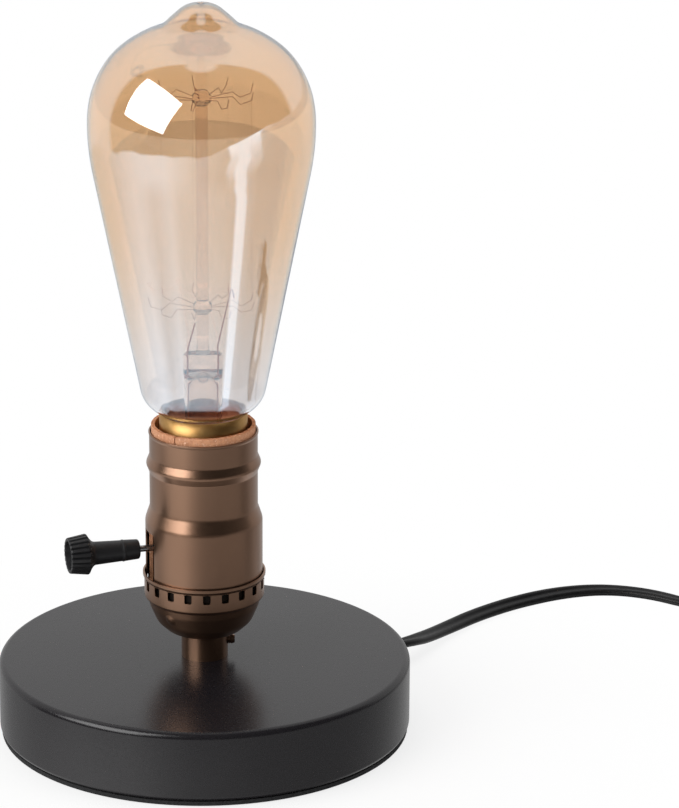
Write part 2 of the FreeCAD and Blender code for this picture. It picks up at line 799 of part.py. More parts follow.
taper_angle = math.atan(bulb_taper)
belly_corner = bulb_widest_height - bulb_belly_radius * math.tan(taper_angle / 2)
neck_of_glass = core_radius_of_bulb - bulb_shell_wall - glass_neck_gap
glass_side = [
    flat(neck_of_glass, glass_neck_foot),
    flat(neck_of_glass, bulb_shell_top - glass_neck_drop),
    flat(bulb_radius - bulb_taper * (belly_corner - bulb_shoulder_height), bulb_shoulder_height),
    flat(bulb_radius, belly_corner),
    flat(bulb_radius, bulb_widest_height),
]
glass_side_radii = [0.5, bulb_shoulder_radius, bulb_belly_radius]
dome = [flat(bulb_radius, bulb_widest_height)]
dome += [flat(bulb_radius * out, bulb_widest_height + bulb_radius * up) for out, up in dome_shares]
dome.append(flat(0, bulb_tip_height))


def dome_edge(points):
    """The round top of the bulb: one curve, upright at its foot and level at its tip."""
    curve = Part.BSplineCurve()
    curve.interpolate(Points=points, InitialTangent=V(0, 0, 1), FinalTangent=V(-1, 0, 0))
    return curve.toShape()


dome_inside = beside(dome, glass_wall)
dome_inside[0] = flat(bulb_radius - glass_wall, bulb_widest_height)
dome_inside[-1] = flat(0, bulb_tip_height - 2 * glass_wall)
side_inside = beside(glass_side, glass_wall)
side_inside_radii = [
    glass_side_radii[0] + glass_wall,
    glass_side_radii[1] - glass_wall,
    glass_side_radii[2] - glass_wall,
]
glass_edges = rounded(glass_side, glass_side_radii) + [dome_edge(dome)]
glass_edges += rounded(side_inside, side_inside_radii) + [dome_edge(dome_inside)]
glass_edges.append(Part.LineSegment(glass_side[0], side_inside[0]).toShape())
glass_edges.append(Part.LineSegment(dome[-1], dome_inside[-1]).toShape())
glass_face = Part.Face(Part.Wire(Part.__sortEdges__(glass_edges)))
written("bulb_glass", glass_face.revolve(CENTRE, UP, 360))

# ---------------------------------------------------------------- mount inside the bulb
rim_of_flare = glass_neck_foot - flare_rim_gap
flare_outline = [
    flat(neck_of_glass - flare_side_gap, rim_of_flare),
    flat(flare_tube_radius + flare_throat_width, rim_of_flare + flare_rim_height),
    flat(flare_tube_radius, rim_of_flare + flare_throat_height),
    flat(flare_tube_radius, press_bottom),
]
flare = sheet(flare_outline, [1.5, 3.0], flare_wall)
press_corner = V(press_width / 2, press_thickness / 2, 0)
press = block(UP * press_bottom - press_corner, UP * press_top + press_corner)
long_edges = [edge for edge in press.Edges if edge.Length > press_thickness * 2]
press = press.makeFillet(press_edge_radius, long_edges)
written("bulb_flare", flare.fuse(press).removeSplitter())

rod = ring(0, rod_radius, press_top, upper_hub_height + hub_height)
hubs = []
for hub_foot in (lower_hub_height - hub_height / 2, upper_hub_height - hub_height / 2):
    hub_outline = [
        flat(0, hub_foot),
        flat(hub_radius, hub_foot),
        flat(hub_radius, hub_foot + hub_height),
        flat(0, hub_foot + hub_height),
    ]
    hubs.append(turned(hub_outline, [hub_edge_radius, hub_edge_radius]))
written("bulb_rod", rod.fuse(hubs).removeSplitter())


def spokes(height):
    """Wire hooks round one hub, each seated in the hub's glass."""
    route = [
        flat(hub_radius - spoke_sink, height),
        flat(spoke_kink, height + spoke_hump),
        flat(spoke_kink + spoke_drop, height - spoke_dip),
        flat(spoke_reach, height + spoke_dip),
        flat(spoke_reach + spoke_lean, height + hook_height),
    ]
    spoke = wire_rod(route, mount_wire_radius)
    return [about_axis(spoke, spoke_turn + i * 360 / spoke_count) for i in range(spoke_count)]


written("upper_supports", *spokes(upper_hub_height))
written("lower_supports", *spokes(lower_hub_height))

# The filament runs up and down between the two rings of hooks.
strand_radius = spoke_reach - mount_wire_radius - filament_radius - strand_gap
strand = []
for i in range(spoke_count):
    turn = spoke_turn + i * 360 / spoke_count
    low = polar(strand_radius, turn, lower_hub_height + strand_above_hub)
    high = polar(strand_radius, turn, upper_hub_height + strand_above_hub)
    strand += [low, high] if i % 2 == 0 else [high, low]
written("bulb_filament", wire_rod(strand, filament_radius))

wire_foot = press_bottom + lead_wire_sunk
left_lead = [
    V(-lead_wire_offset, 0, wire_foot),
    V(-lead_wire_offset, 0, press_top + lead_wire_straight),
    V(-lead_left_reach - lead_wire_radius, 0, lead_left_top),
]
right_lead = [
    V(lead_wire_offset, 0, wire_foot),
    V(lead_wire_offset, 0, lead_bend_height),
    V(lead_right_reach, 0, lead_right_top),
]
written("bulb_leads", wire_rod(left_lead, lead_wire_radius), wire_rod(right_lead, lead_wire_radius))

# ---------------------------------------------------------------- lead inside the lamp
cord_radius = cord_diameter / 2
gland_tip = polar(base_radius + gland_outside, gland_turn, gland_height)
inner_route = [gland_tip, V(0, 0, gland_height), V(0, 0, nipple_top)]
base_lead = tube(rounded(inner_route, [inner_bend_radius]), cord_radius)
written("base_lead", base_lead)
core_out = groove_floor + core_radius + thread_gap
cores = []
for turn in terminal_turns:
    core_route = [
        polar(core_spread, turn, nipple_top),
        polar(core_spread, turn, nipple_top + core_straight),
        polar(core_out, turn, body_foot - core_turn_drop),
        polar(core_out, turn, terminal_z - terminal_radius - thread_gap),
    ]
    cores.append(tube(rounded(core_route, [core_bend_radius, core_bend_radius]), core_radius))
written("lead_cores", *cores)

# ---------------------------------------------------------------- coil
coil_angle = coil_turns * 2 * math.pi
coil_foot = table_gap + cord_radius


def coil_point(angle):
    """The lead's middle line, wound clockwise inwards on the table and outwards on top."""
    past = angle - coil_angle / 2
    reach = abs(past)
    half = math.pi / 2
    if reach < half:
        reach = past * past / math.pi + math.pi / 4
        height = coil_foot + coil_pitch * (1 + math.sin(past)) / 2
    else:
        height = coil_foot + (coil_pitch if past > 0 else 0)
    radius = coil_inner_radius + coil_pitch * reach / (2 * math.pi)
    return coil_centre + polar(radius, coil_start_turn - math.degrees(angle), height)


def coil_way(angle):
    step = 1e-4
    return (coil_point(angle + step) - coil_point(angle - step)).normalize()


def arc_from(start, way, end):
    """The arc that leaves start along way and reaches end, or a straight line where they agree."""
    chord = end - start
    lean = way.getAngle(chord)
    if lean < 1e-5:
        return Part.LineSegment(start, end).toShape()
    outward = (way * chord.Length - chord * math.cos(lean)).normalize()
    bulge = chord.Length / 2 * math.tan(lean / 2)
    return Part.Arc(start, (start + end) * 0.5 + outward * bulge, end).toShape()


def biarc(start, start_way, end, end_way):
    """Two tangent arcs between two points of the coil."""
    chord = end - start
    ways = start_way + end_way
    spread = 2 * (1 - start_way.dot(end_way))
    along = chord.dot(ways)
    reach = (math.sqrt(along * along + spread * chord.dot(chord)) - along) / spread
    middle = (start + start_way * reach + end - end_way * reach) * 0.5
    middle_way = (end - end_way * reach - start - start_way * reach).normalize()
    return [arc_from(start, start_way, middle), arc_from(middle, middle_way, end)]


coil_start = coil_point(0) - coil_way(0) * cord_diameter
coil_end = coil_point(coil_angle) + coil_way(coil_angle) * coil_end_straight
stops = [0.0]
quarter = math.pi / 2
quarters = int(coil_angle / 2 / quarter)
stops += [coil_angle / 2 + i * quarter for i in range(-quarters, quarters + 1)]
stops.append(coil_angle)
coil_edges = [Part.LineSegment(coil_start, coil_point(0)).toShape()]
for a, b in zip(stops, stops[1:]):
    coil_edges += biarc(coil_point(a), coil_way(a), coil_point(b), coil_way(b))
coil_edges.append(Part.LineSegment(coil_point(coil_angle), coil_end).toShape())
cord_coil = tube(coil_edges, cord_radius)
written("cord_coil", cord_coil)
coil_length = sum(edge.Length for edge in coil_edges)

samples = [point for edge in coil_edges for point in edge.discretize(Number=14)[:-1]]
apart = 30                      # samples, more than half a turn along the cord
least = min(
    (samples[i] - samples[j]).Length for i in range(len(samples)) for j in range(i + apart, len(samples))
)
print(f"coil: least gap to itself {least - cord_diameter:.2f} mm, length {coil_length:.0f} mm")

# A flat tie round all the turns.
tie_radii = []
turn_angle = math.radians((coil_start_turn - tie_turn) % 360)
while turn_angle < coil_angle:
    tie_radii.append((coil_point(turn_angle) - coil_centre).cross(UP).Length)
    turn_angle += 2 * math.pi


def tie_frame(margin):
    inner = min(tie_radii) - cord_radius - margin
    outer = max(tie_radii) + cord_radius + margin
    top = table_gap + cord_diameter + coil_pitch + margin
    frame = block(V(inner, 0, table_gap - margin), V(outer, tie_width, top))
    across = [edge for edge in frame.Edges if abs(edge.Length - tie_width) < 1e-6]
    return frame.makeFillet(tie_inner_corner + margin, across)


tie = tie_frame(tie_gap + tie_thickness).cut(tie_frame(tie_gap))
tie.translate(V(0, -tie_width / 2, 0))
tie = about_axis(tie, tie_turn)
tie.translate(coil_centre)
written("cord_tie", tie)

# ---------------------------------------------------------------- free lead on the table
# Chosen from the way the lead lies in the view; x, y, height of its middle line.
lead_route = [
    gland_tip,
    V(62.75, 48.3, 5.9),
    V(68.2, 56.6, 4.0),
    V(75.4, 67.9, 2.4),
    V(85.8, 80.3, 2.0),
    V(99.2, 91.2, 2.0),
    V(114.0, 99.2, 2.0),
    V(128.4, 101.9, 2.0),
    V(142.6, 97.6, 2.0),
    V(154.5, 87.6, 2.1),
    V(168.5, 79.6, 2.3),
    V(184.6, 72.6, 2.6),
    V(201.3, 61.3, 2.6),
    coil_start,
]
lead_radii = []
for before, corner, after in zip(lead_route, lead_route[1:], lead_route[2:]):
    half_turn = (corner - before).getAngle(after - corner) / 2
    run = min((corner - before).Length, (after - corner).Length)
    lead_radii.append(0.45 * run / math.tan(half_turn))
print("lead: radii of its arcs, mm:", " ".join(f"{radius:.0f}" for radius in lead_radii))
lead_edges = rounded(lead_route, lead_radii)
cord_lead = tube(lead_edges, cord_radius)
written("cord_lead", cord_lead)
lead_length = sum(edge.Length for edge in lead_edges)
section_area = math.pi * cord_radius * cord_radius
for name, solid, length in (("lead", cord_lead, lead_length), ("coil", cord_coil, coil_length)):
    print(f"{name}: volume over section times length {solid.Volume / (section_area * length):.4f}")
print(f"cord: {lead_length + coil_length:.0f} mm from the base to the plug")

# ---------------------------------------------------------------- plug
plug_thickness = 2 * coil_end.z
plug_way = coil_way(coil_angle)
plug_turn = math.degrees(math.atan2(plug_way.y, plug_way.x))


def at_plug(shape):
    """Sets a shape that was made along +X at the end of the coiled lead."""
    copy = about_axis(shape, plug_turn)
    copy.translate(coil_end)
    return copy


relief = Part.makeCone(plug_relief_tip_radius, plug_relief_root_radius, plug_relief_length)
relief.rotate(CENTRE, V(0, 1, 0), 90)
written("plug_relief", at_plug(relief))
body = block(
    V(plug_relief_length, -plug_width / 2, -plug_thickness / 2),
    V(plug_relief_length + plug_length, plug_width / 2, plug_thickness / 2),
)
body = body.makeFillet(plug_corner, [edge for edge in body.Edges if abs(edge.Length - plug_length) < 1e-6])
blades = []
for side in (1, -1):
    middle = side * blade_spacing / 2
    blades.append(
        block(
            V(plug_relief_length + plug_length - blade_sunk, middle - blade_thickness / 2, -blade_width / 2),
            V(plug_relief_length + plug_length + blade_length, middle + blade_thickness / 2, blade_width / 2),
        )
    )
written("plug_body", at_plug(body.cut(blades)))
written("plug_blades", *[at_plug(blade) for blade in blades])
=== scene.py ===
import math
import random

import bmesh
import bpy
import numpy as np
from mathutils import Matrix, Vector


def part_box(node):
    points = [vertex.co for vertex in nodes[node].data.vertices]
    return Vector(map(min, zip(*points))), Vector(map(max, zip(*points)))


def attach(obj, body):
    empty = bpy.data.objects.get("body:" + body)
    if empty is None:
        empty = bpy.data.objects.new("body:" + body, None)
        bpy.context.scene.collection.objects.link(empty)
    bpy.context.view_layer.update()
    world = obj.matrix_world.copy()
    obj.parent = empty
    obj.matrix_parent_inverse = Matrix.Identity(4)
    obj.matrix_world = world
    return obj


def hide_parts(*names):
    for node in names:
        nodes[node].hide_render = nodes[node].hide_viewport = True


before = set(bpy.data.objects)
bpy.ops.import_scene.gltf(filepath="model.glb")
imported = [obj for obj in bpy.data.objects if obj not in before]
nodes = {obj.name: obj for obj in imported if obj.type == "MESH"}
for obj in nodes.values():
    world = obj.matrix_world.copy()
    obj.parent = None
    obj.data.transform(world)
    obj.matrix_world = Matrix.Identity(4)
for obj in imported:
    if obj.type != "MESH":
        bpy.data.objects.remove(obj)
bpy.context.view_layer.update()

# ---------------------------------------------------------------- foam pad
# A disc of dark closed-cell foam, die-cut and glued under the base. It keeps the table
# from scratches and stops the lamp from sliding.


def linear(hex_colour):
    """An sRGB colour such as "#2b2b2c" as linear red, green, blue and alpha."""
    parts = [int(hex_colour[i:i + 2], 16) / 255 for i in (1, 3, 5)]
    return tuple(c / 12.92 if c <= 0.04045 else ((c + 0.055) / 1.055) ** 2.4 for c in parts) + (1.0,)


def add_node(tree, kind, inputs=None, **settings):
    """Adds a shader node with its settings. Its inputs are values, sockets, or nodes, of which
    the first output is linked."""
    made = tree.nodes.new("ShaderNode" + kind)
    for name, value in settings.items():
        setattr(made, name, value)
    for name, value in (inputs or {}).items():
        if isinstance(value, bpy.types.Node):
            value = value.outputs[0]
        if isinstance(value, bpy.types.NodeSocket):
            tree.links.new(value, made.inputs[name])
        else:
            made.inputs[name].default_value = value
    return made


def new_material(name):
    """A material, its empty tree, and the place on the object, in metres, for its patterns."""
    material = bpy.data.materials.new(name)
    material.use_nodes = True
    material.node_tree.nodes.clear()
    place = add_node(material.node_tree, "TexCoord").outputs["Object"]
    return material, material.node_tree, place


def per_mm(size):
    """The scale of a pattern whose features are this many millimetres apart."""
    return 1000.0 / size


def mottled(name, dark, light, grain_mm, surface, gloss=None, relief_mm=0.0, detail=2.0):
    """A material that runs from a dark to a light tone in grains of one size. Its gloss, as the
    least and most roughness, and its relief follow the grains. surface holds its other values."""
    material, tree, place = new_material(name)
    grain = add_node(tree, "TexNoise", {"Vector": place, "Scale": per_mm(grain_mm), "Detail": detail})
    tone = add_node(tree, "MixRGB", {"Fac": grain, "Color1": linear(dark), "Color2": linear(light)})
    values = {"Base Color": tone, **surface}
    if gloss:
        dulled = {"Value": grain, "To Min": gloss[0], "To Max": gloss[1]}
        values["Roughness"] = add_node(tree, "MapRange", dulled)
    if relief_mm:
        values["Normal"] = add_node(tree, "Bump", {"Height": grain, "Distance": relief_mm / 1000})
    skin = add_node(tree, "BsdfPrincipled", values)
    add_node(tree, "OutputMaterial", {"Surface": skin})
    return material


def wear(node_names, material):
    """Gives CAD nodes a material in place of the one they were packed with."""
    for name in node_names:
        for slot in nodes[name].material_slots:
            slot.material = material


# Closed-cell EVA foam: dull, dark and finely pitted.
eva_foam = mottled("eva_foam", "#101011", "#2c2c2e", 0.7, {"Roughness": 0.92}, relief_mm=0.15)
wear(["base_pad"], eva_foam)

# ---------------------------------------------------------------- weight, pipe, nut and washer
# Inside the base: a cast disc gives the lamp its weight, and a threaded pipe with a thin nut
# and a washer holds disc, base and socket together.

# Sand-cast iron: dark grey and grainy.
cast_iron = mottled(
    "cast_iron", "#201f1e", "#524f49", 1.2, {"Metallic": 0.6, "Roughness": 0.75}, relief_mm=0.2, detail=6.0
)
wear(["ballast_weight"], cast_iron)

# Zinc-plated steel: pale grey with a faint spangle.
zinc_plate = mottled(
    "zinc_plated_steel", "#8f908c", "#d2d3d0", 2.5, {"Metallic": 1.0}, gloss=(0.25, 0.45)
)
wear(["threaded_nipple", "nipple_locknut", "lock_washer", "terminal_screws"], zinc_plate)

# ---------------------------------------------------------------- base
# A round cup, deep-drawn from sheet steel with its lower edge turned in, and powder coated
# matte black. The coat rounds every edge a little and has a fine orange peel.


def round_corners(points, radii, steps=8):
    """Outline points (distance from the axis, height) with each inner corner made an arc."""
    path = [Vector(points[0])]
    for before, corner, after, radius in zip(points, points[1:], points[2:], radii):
        corner = Vector(corner)
        back = (Vector(before) - corner).normalized()
        on = (Vector(after) - corner).normalized()
        half = (math.pi - back.angle(on)) / 2
        if radius <= 0 or half < 0.01:
            path.append(corner)
            continue
        reach = radius * math.tan(half)
        middle = corner + (back + on).normalized() * (radius / math.cos(half))
        first = (corner + back * reach - middle).normalized()
        last = (corner + on * reach - middle).normalized()
        path += [middle + first.slerp(last, i / steps) * radius for i in range(steps + 1)]
    last = Vector(points[-1])
    return path if (path[-1] - last).length < 1e-3 else path + [last]


def cut_at(path, heights):
    """The same outline, which rises all the way, with points added at these heights."""
    cut = [path[0]]
    for low, high in zip(path, path[1:]):
        for height in heights:
            if low.y + 1e-4 < height < high.y - 1e-4:
                cut.append(low.lerp(high, (height - low.y) / (high.y - low.y)))
        cut.append(high)
    return cut


def row_at(path, height):
    """The number of the outline's point that is nearest to this height."""
    return min(range(len(path)), key=lambda row: abs(path[row].y - height))


def inner_side(path, wall):
    """The path, moved inwards by a wall's thickness."""
    inner = []
    for i, point in enumerate(path):
        along = (path[min(i + 1, len(path) - 1)] - path[max(i - 1, 0)]).normalized()
        inner.append(point + Vector((-along.y, along.x)) * wall)
    return inner


def around(turns):
    """This many equal steps round the axis, in radians."""
    return [2 * math.pi * j / turns for j in range(turns)]


def lathe(outline, angles, closed=True, place_of=None, is_open=None):
    """A mesh of revolution from an outline in mm. place_of(row, angle, radius, height) moves a
    point, and is_open(row, column) leaves a face out."""
    build = bmesh.new()
    rings = []
    for row, (radius, height) in enumerate(outline):
        if radius < 1e-4:
            rings.append([build.verts.new((0, 0, height / 1000))] * len(angles))
            continue
        ring = []
        for angle in angles:
            turn, out, up = place_of(row, angle, radius, height) if place_of else (angle, radius, height)
            ring.append(build.verts.new(Vector((out * math.cos(turn), out * math.sin(turn), up)) / 1000))
        rings.append(ring)
    pairs = list(zip(rings, rings[1:])) + ([(rings[-1], rings[0])] if closed else [])
    for row, (low, high) in enumerate(pairs):
        for j in range(len(angles)):
            k = (j + 1) % len(angles)
            corners = list(dict.fromkeys((low[j], low[k], high[k], high[j])))
            if len(corners) > 2 and not (is_open and is_open(row, j)):
                build.faces.new(corners)
    loose = [vert for vert in build.verts if not vert.link_faces]
    bmesh.ops.delete(build, geom=loose, context="VERTS")
    mesh = bpy.data.meshes.new("turned")
    build.to_mesh(mesh)
    build.free()
    return mesh


def new_piece(name, mesh, material, body, in_place_of, sharp_degrees=35):
    """A smooth-shaded piece that rides on a body and stands for a CAD node."""
    mesh.name = name
    for face in mesh.polygons:
        face.use_smooth = True
    mesh.set_sharp_from_angle(angle=math.radians(sharp_degrees))
    piece = bpy.data.objects.new(name, mesh)
    bpy.context.scene.collection.objects.link(piece)
    piece.data.materials.append(material)
    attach(piece, body)
    if in_place_of:
        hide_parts(in_place_of)
    return piece


base_low, base_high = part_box("base_shell")
base_radius = (base_high.x - base_low.x) * 500
base_top = base_high.z * 1000
base_foot = base_low.z * 1000
base_wall = 1.2
base_lip = 7.0
base_bore = 5.2
base_path = round_corners(
    [
        (base_radius - base_lip, base_foot),
        (base_radius, base_foot),
        (base_radius, base_top),
        (base_bore, base_top),
    ],
    [1.5, 1.9],
    14,
)

# Powder coat, matte black: epoxy-polyester, sprayed dry and baked. Fine orange peel, soft sheen.
powder_coat, tree, place = new_material("powder_coat")
peel = add_node(tree, "TexNoise", {"Vector": place, "Scale": per_mm(0.9)})
cloud = add_node(tree, "TexNoise", {"Vector": place, "Scale": per_mm(24)})
tone = add_node(tree, "MixRGB", {"Fac": cloud, "Color1": linear("#131114"), "Color2": linear("#1b191c")})
gloss = add_node(tree, "MapRange", {"Value": peel, "To Min": 0.2, "To Max": 0.32})
bumps = add_node(tree, "Bump", {"Height": peel, "Distance": 0.00002, "Strength": 0.5})
skin = add_node(
    tree,
    "BsdfPrincipled",
    {"Base Color": tone, "Roughness": gloss, "IOR": 1.5, "Specular IOR Level": 0.55, "Normal": bumps},
)
add_node(tree, "OutputMaterial", {"Surface": skin})
base_mesh = lathe(base_path + inner_side(base_path, base_wall)[::-1], around(256))
new_piece("base_cup", base_mesh, powder_coat, "lamp", "base_shell")

# ---------------------------------------------------------------- strain relief in the base
# A tapered collar of soft black PVC, snapped through the side wall. It grips the flat lead
# and bends with it.

# Plasticised PVC, moulded and drawn: black with a low waxy sheen.
waxy = {"IOR": 1.53, "Specular IOR Level": 0.35}
black_pvc = mottled("black_pvc", "#0a0a0b", "#151516", 1.5, waxy, gloss=(0.34, 0.48), relief_mm=0.04)
wear(["cord_gland", "base_lead", "lead_cores"], black_pvc)

# ---------------------------------------------------------------- socket cap
# The lower cup of the socket, spun from thin brass sheet: a bowl, a bead, and a straight band
# with twenty punched windows under a rolled rim. It stands on a threaded collar with a set screw.


def eased(piece, size_mm):
    """Rounds the cut edges of a sheet."""
    bevel = piece.modifiers.new("eased_edges", "BEVEL")
    bevel.width = size_mm / 1000
    bevel.segments = 2
    bevel.limit_method = "ANGLE"
    bevel.angle_limit = math.radians(40)
    bevel.harden_normals = True


def thickened(piece, wall_mm):
    """Gives a sheet its thickness, inwards. Its inner face takes the piece's last material, which for the
    brass sheets is the near-black brass of painted shade.
    """
    wall = piece.modifiers.new("sheet_thickness", "SOLIDIFY")
    wall.thickness = wall_mm / 1000
    wall.offset = -1
    wall.use_even_offset = True
    wall.material_offset = len(piece.data.materials) - 1


def laid_level(mesh, middle, turn=0.0):
    """Lays a turned mesh level, points it this far round, and moves its start to the middle."""
    level = Matrix.Rotation(turn, 4, "Z") @ Matrix.Rotation(math.pi / 2, 4, "Y")
    mesh.transform(Matrix.Translation(middle) @ level)


sheet_wall = 0.5
cap_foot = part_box("cap_shell")[0].z * 1000
window_count = 20
window_size = 2.2
window_height = 2.8
window_foot = 43.9
window_turn = 272.2
band_radius = 17.45
dimple_turn = 230.0
dimple_height = 37.0
dimple_radius = 1.7
dimple_proud = 0.5
cap_path = round_corners(
    [
        (6.95, cap_foot), (10.2, cap_foot), (13.9, 33.5), (15.9, 38.2), (16.4, 40.4),
        (band_radius, 41.1), (band_radius, 46.8), (17.85, 47.4), (17.85, 48.3),
    ],
    [5, 5, 6, 0.6, 0.8, 0.5, 0.4],
)
window_rows = [window_foot + window_height * i / 4 for i in range(5)]
bowl_rows = [34 + 0.45 * i for i in range(14)]
cap_path = cut_at(cap_path, sorted(window_rows + bowl_rows))
half_window = math.asin(window_size / 2 / band_radius)
window_pitch = 2 * math.pi / window_count
cap_angles = []
window_columns = set()
for i in range(window_count):
    middle = math.radians(window_turn) + i * window_pitch
    for j in range(4):
        window_columns.add(len(cap_angles))
        cap_angles.append(middle - half_window + half_window * j / 2)
    for j in range(7):
        cap_angles.append(middle + half_window + (window_pitch - 2 * half_window) * j / 7)
first_window_row = row_at(cap_path, window_rows[0])
last_window_row = row_at(cap_path, window_rows[-1])


def cap_place(row, angle, radius, height):
    """Sinks the corners of the windows round, and raises the two stamped dimples."""
    if row in (first_window_row, last_window_row):
        off = (angle - math.radians(window_turn) + window_pitch / 2) % window_pitch - window_pitch / 2
        if abs(abs(off) - half_window) < 1e-4:
            angle -= math.copysign(half_window * 0.12, off)
            height += 0.12 if row == first_window_row else -0.12
    for turn in (dimple_turn, dimple_turn - 180):
        off = (angle - math.radians(turn) + math.pi) % (2 * math.pi) - math.pi
        away = math.hypot(off * radius, height - dimple_height) / dimple_radius
        if away < 1:
            radius += dimple_proud * (1 - away * away)
    return angle, radius, height


cap_mesh = lathe(
    cap_path,
    cap_angles,
    closed=False,
    place_of=cap_place,
    is_open=lambda row, column: first_window_row <= row < last_window_row and column in window_columns,
)

# Antique bronze: lacquer over chemically darkened brass, turned and brushed round the axis, so
# that highlights stretch up and down. Brown, a little lighter where the finish is thin.
antique_bronze, tree, place = new_material("antique_bronze")
flat_place = add_node(tree, "Mapping", {"Vector": place, "Scale": (0.1, 0.1, 1.0)})
# Real brushing lines are near 0.05 mm; these are wider so that they show.
brushing = add_node(tree, "TexNoise", {"Vector": flat_place, "Scale": per_mm(0.3), "Detail": 3.0})
patina = add_node(tree, "TexNoise", {"Vector": place, "Scale": per_mm(22), "Detail": 2.0})
tone = add_node(tree, "MixRGB", {"Fac": patina, "Color1": linear("#93705a"), "Color2": linear("#a58168")})
gloss = add_node(tree, "MapRange", {"Value": brushing, "To Min": 0.28, "To Max": 0.40})
lines = add_node(tree, "Bump", {"Height": brushing, "Distance": 0.000006, "Strength": 0.35})
turned_way = add_node(tree, "Tangent", direction_type="RADIAL", axis="Z")
skin = add_node(
    tree,
    "BsdfPrincipled",
    {
        "Base Color": tone,
        "Metallic": 1.0,
        "Roughness": gloss,
        "Anisotropic": 0.45,
        "Coat Weight": 0.35,
        "Coat Roughness": 0.25,
        "Anisotropic Rotation": 0.25,
        "Tangent": turned_way,
        "Normal": lines,
    },
)
add_node(tree, "OutputMaterial", {"Surface": skin})

# Painted shade: the inside of the brass sheets, and the shell where it is tucked into the cap, take a
# near-black brown brass, dull, so that what shows through the windows and the key slot is dark.
dark_brass_painted_shade = mottled(
    "dark_brass_painted_shade", "#14100d", "#2c231c", 2.0, {"Metallic": 0.7, "Roughness": 0.6}
)
cap_cup = new_piece("cap_cup", cap_mesh, antique_bronze, "lamp", "cap_shell")
# Painted shade: the inside of the cap takes the near-black brass.
cap_mesh.materials.append(dark_brass_painted_shade)
thickened(cap_cup, sheet_wall)
eased(cap_cup, 0.07)
wear(["cap_bushing"], antique_bronze)

# The set screw: a short threaded pin through the collar that locks it to the pipe.
screw_low, screw_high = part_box("cap_set_screw")
screw_radius = 1.45
screw_root = screw_radius - 0.2
screw_pitch = 0.5
root_along, crest_along = 0.12, 0.37
screw_end = screw_high.x * 1000 - 0.2
screw_path = [Vector((0.0, screw_low.x * 1000)), Vector((screw_root, screw_low.x * 1000))]
screw_turns = int((screw_end - 0.4 - screw_path[-1].y) / screw_pitch)
for i in range(screw_turns):
    along = screw_path[1].y + screw_pitch * i
    screw_path += [Vector((screw_root, along + root_along)), Vector((screw_radius, along + crest_along))]
screw_path += [
    Vector((screw_radius - 0.3, screw_end)),
    Vector((0.5, screw_end)),
    Vector((0.0, screw_end - 0.5)),
]
screw_mesh = lathe(screw_path, around(32), closed=False)
laid_level(screw_mesh, (0, 0, (screw_low.z + screw_high.z) / 2))
new_piece("set_screw", screw_mesh, antique_bronze, "lamp", "cap_set_screw")

# Vulcanised fibre and paper sleeve: reddish brown, matt, with short fibres along the sheet.
fibre_board, tree, place = new_material("vulcanised_fibre")
fibre_place = add_node(tree, "Mapping", {"Vector": place, "Scale": (1.0, 1.0, 0.7)})
fibres = add_node(tree, "TexNoise", {"Vector": fibre_place, "Scale": per_mm(0.9), "Detail": 6.0})
tone = add_node(tree, "MixRGB", {"Fac": fibres, "Color1": linear("#8d5336"), "Color2": linear("#d9a078")})
flecks = add_node(
    tree, "TexNoise", {"Vector": place, "Scale": per_mm(0.55), "Detail": 2.0, "Roughness": 0.8}
)
fleck_share = add_node(tree, "MapRange", {"Value": flecks, "From Min": 0.58, "From Max": 0.75})
tone = add_node(tree, "MixRGB", {"Fac": fleck_share, "Color1": tone, "Color2": linear("#ecc3a6")})
bumps = add_node(tree, "Bump", {"Height": fibres, "Distance": 0.00015})
skin = add_node(tree, "BsdfPrincipled", {"Base Color": tone, "Roughness": 0.8, "Normal": bumps})
add_node(tree, "OutputMaterial", {"Surface": skin})
wear(["cap_liner"], fibre_board)

# ---------------------------------------------------------------- socket shell
# The upper sleeve, drawn from the same brass: a straight body with a slot for the key, a
# shoulder, a rolled bead and a plain lip. It snaps into the cap over the fibre sleeve.

key_turn = math.radians(195.0)
slot_half = 4.85
slot_top = 62.0
slot_corner = 1.2
body_radius = 17.0
tuck_top = 47.4
shell_path = round_corners(
    [
        (16.4, 42.2), (16.4, 46.8), (17.0, 47.8), (17.0, 64.6), (15.65, 68.6), (15.65, 79.1),
        (16.66, 81.6), (15.65, 84.1), (15.65, 90.2), (15.85, 90.7), (15.85, 91.2),
    ],
    [0.8, 0.8, 4, 3, 1.2, 1.6, 1.2, 0.6, 0.6],
)
shell_path = cut_at(shell_path, [slot_top - slot_corner - 0.8, slot_top, slot_top + 1.2])
slot_row = row_at(shell_path, slot_top)
corner_steps = [math.sin(math.radians(angle)) for angle in (0, 22, 45, 68, 90)]
slot_places = [slot_half - slot_corner + slot_corner * step for step in corner_steps]
slot_angles = [math.asin(place / body_radius) for place in slot_places]
inner_angles = [slot_angles[0] * (i / 3) for i in range(-2, 3)]
slot_angles = [-angle for angle in slot_angles[::-1]] + inner_angles + slot_angles
outer_turn = 2 * math.pi - 2 * slot_angles[-1]
shell_angles = slot_angles + [slot_angles[-1] + outer_turn * j / 150 for j in range(1, 150)]
slot_columns = len(slot_angles) - 1


def shell_place(row, angle, radius, height):
    """Turns the slot to the key, and rounds its upper corners."""
    if row == slot_row:
        aside = abs(math.sin(angle)) * body_radius
        if aside < slot_half + 1e-4 and math.cos(angle) > 0:
            over = max(0.0, aside - slot_half + slot_corner) / slot_corner
            height = slot_top - slot_corner * (1 - math.sqrt(max(0.0, 1 - over * over)))
    return angle + key_turn, radius, height


shell_mesh = lathe(
    shell_path,
    shell_angles,
    closed=False,
    place_of=shell_place,
    is_open=lambda row, column: row < slot_row and column < slot_columns,
)
socket_sleeve = new_piece(
    "socket_sleeve", shell_mesh, antique_bronze, "lamp", "socket_shell"
)
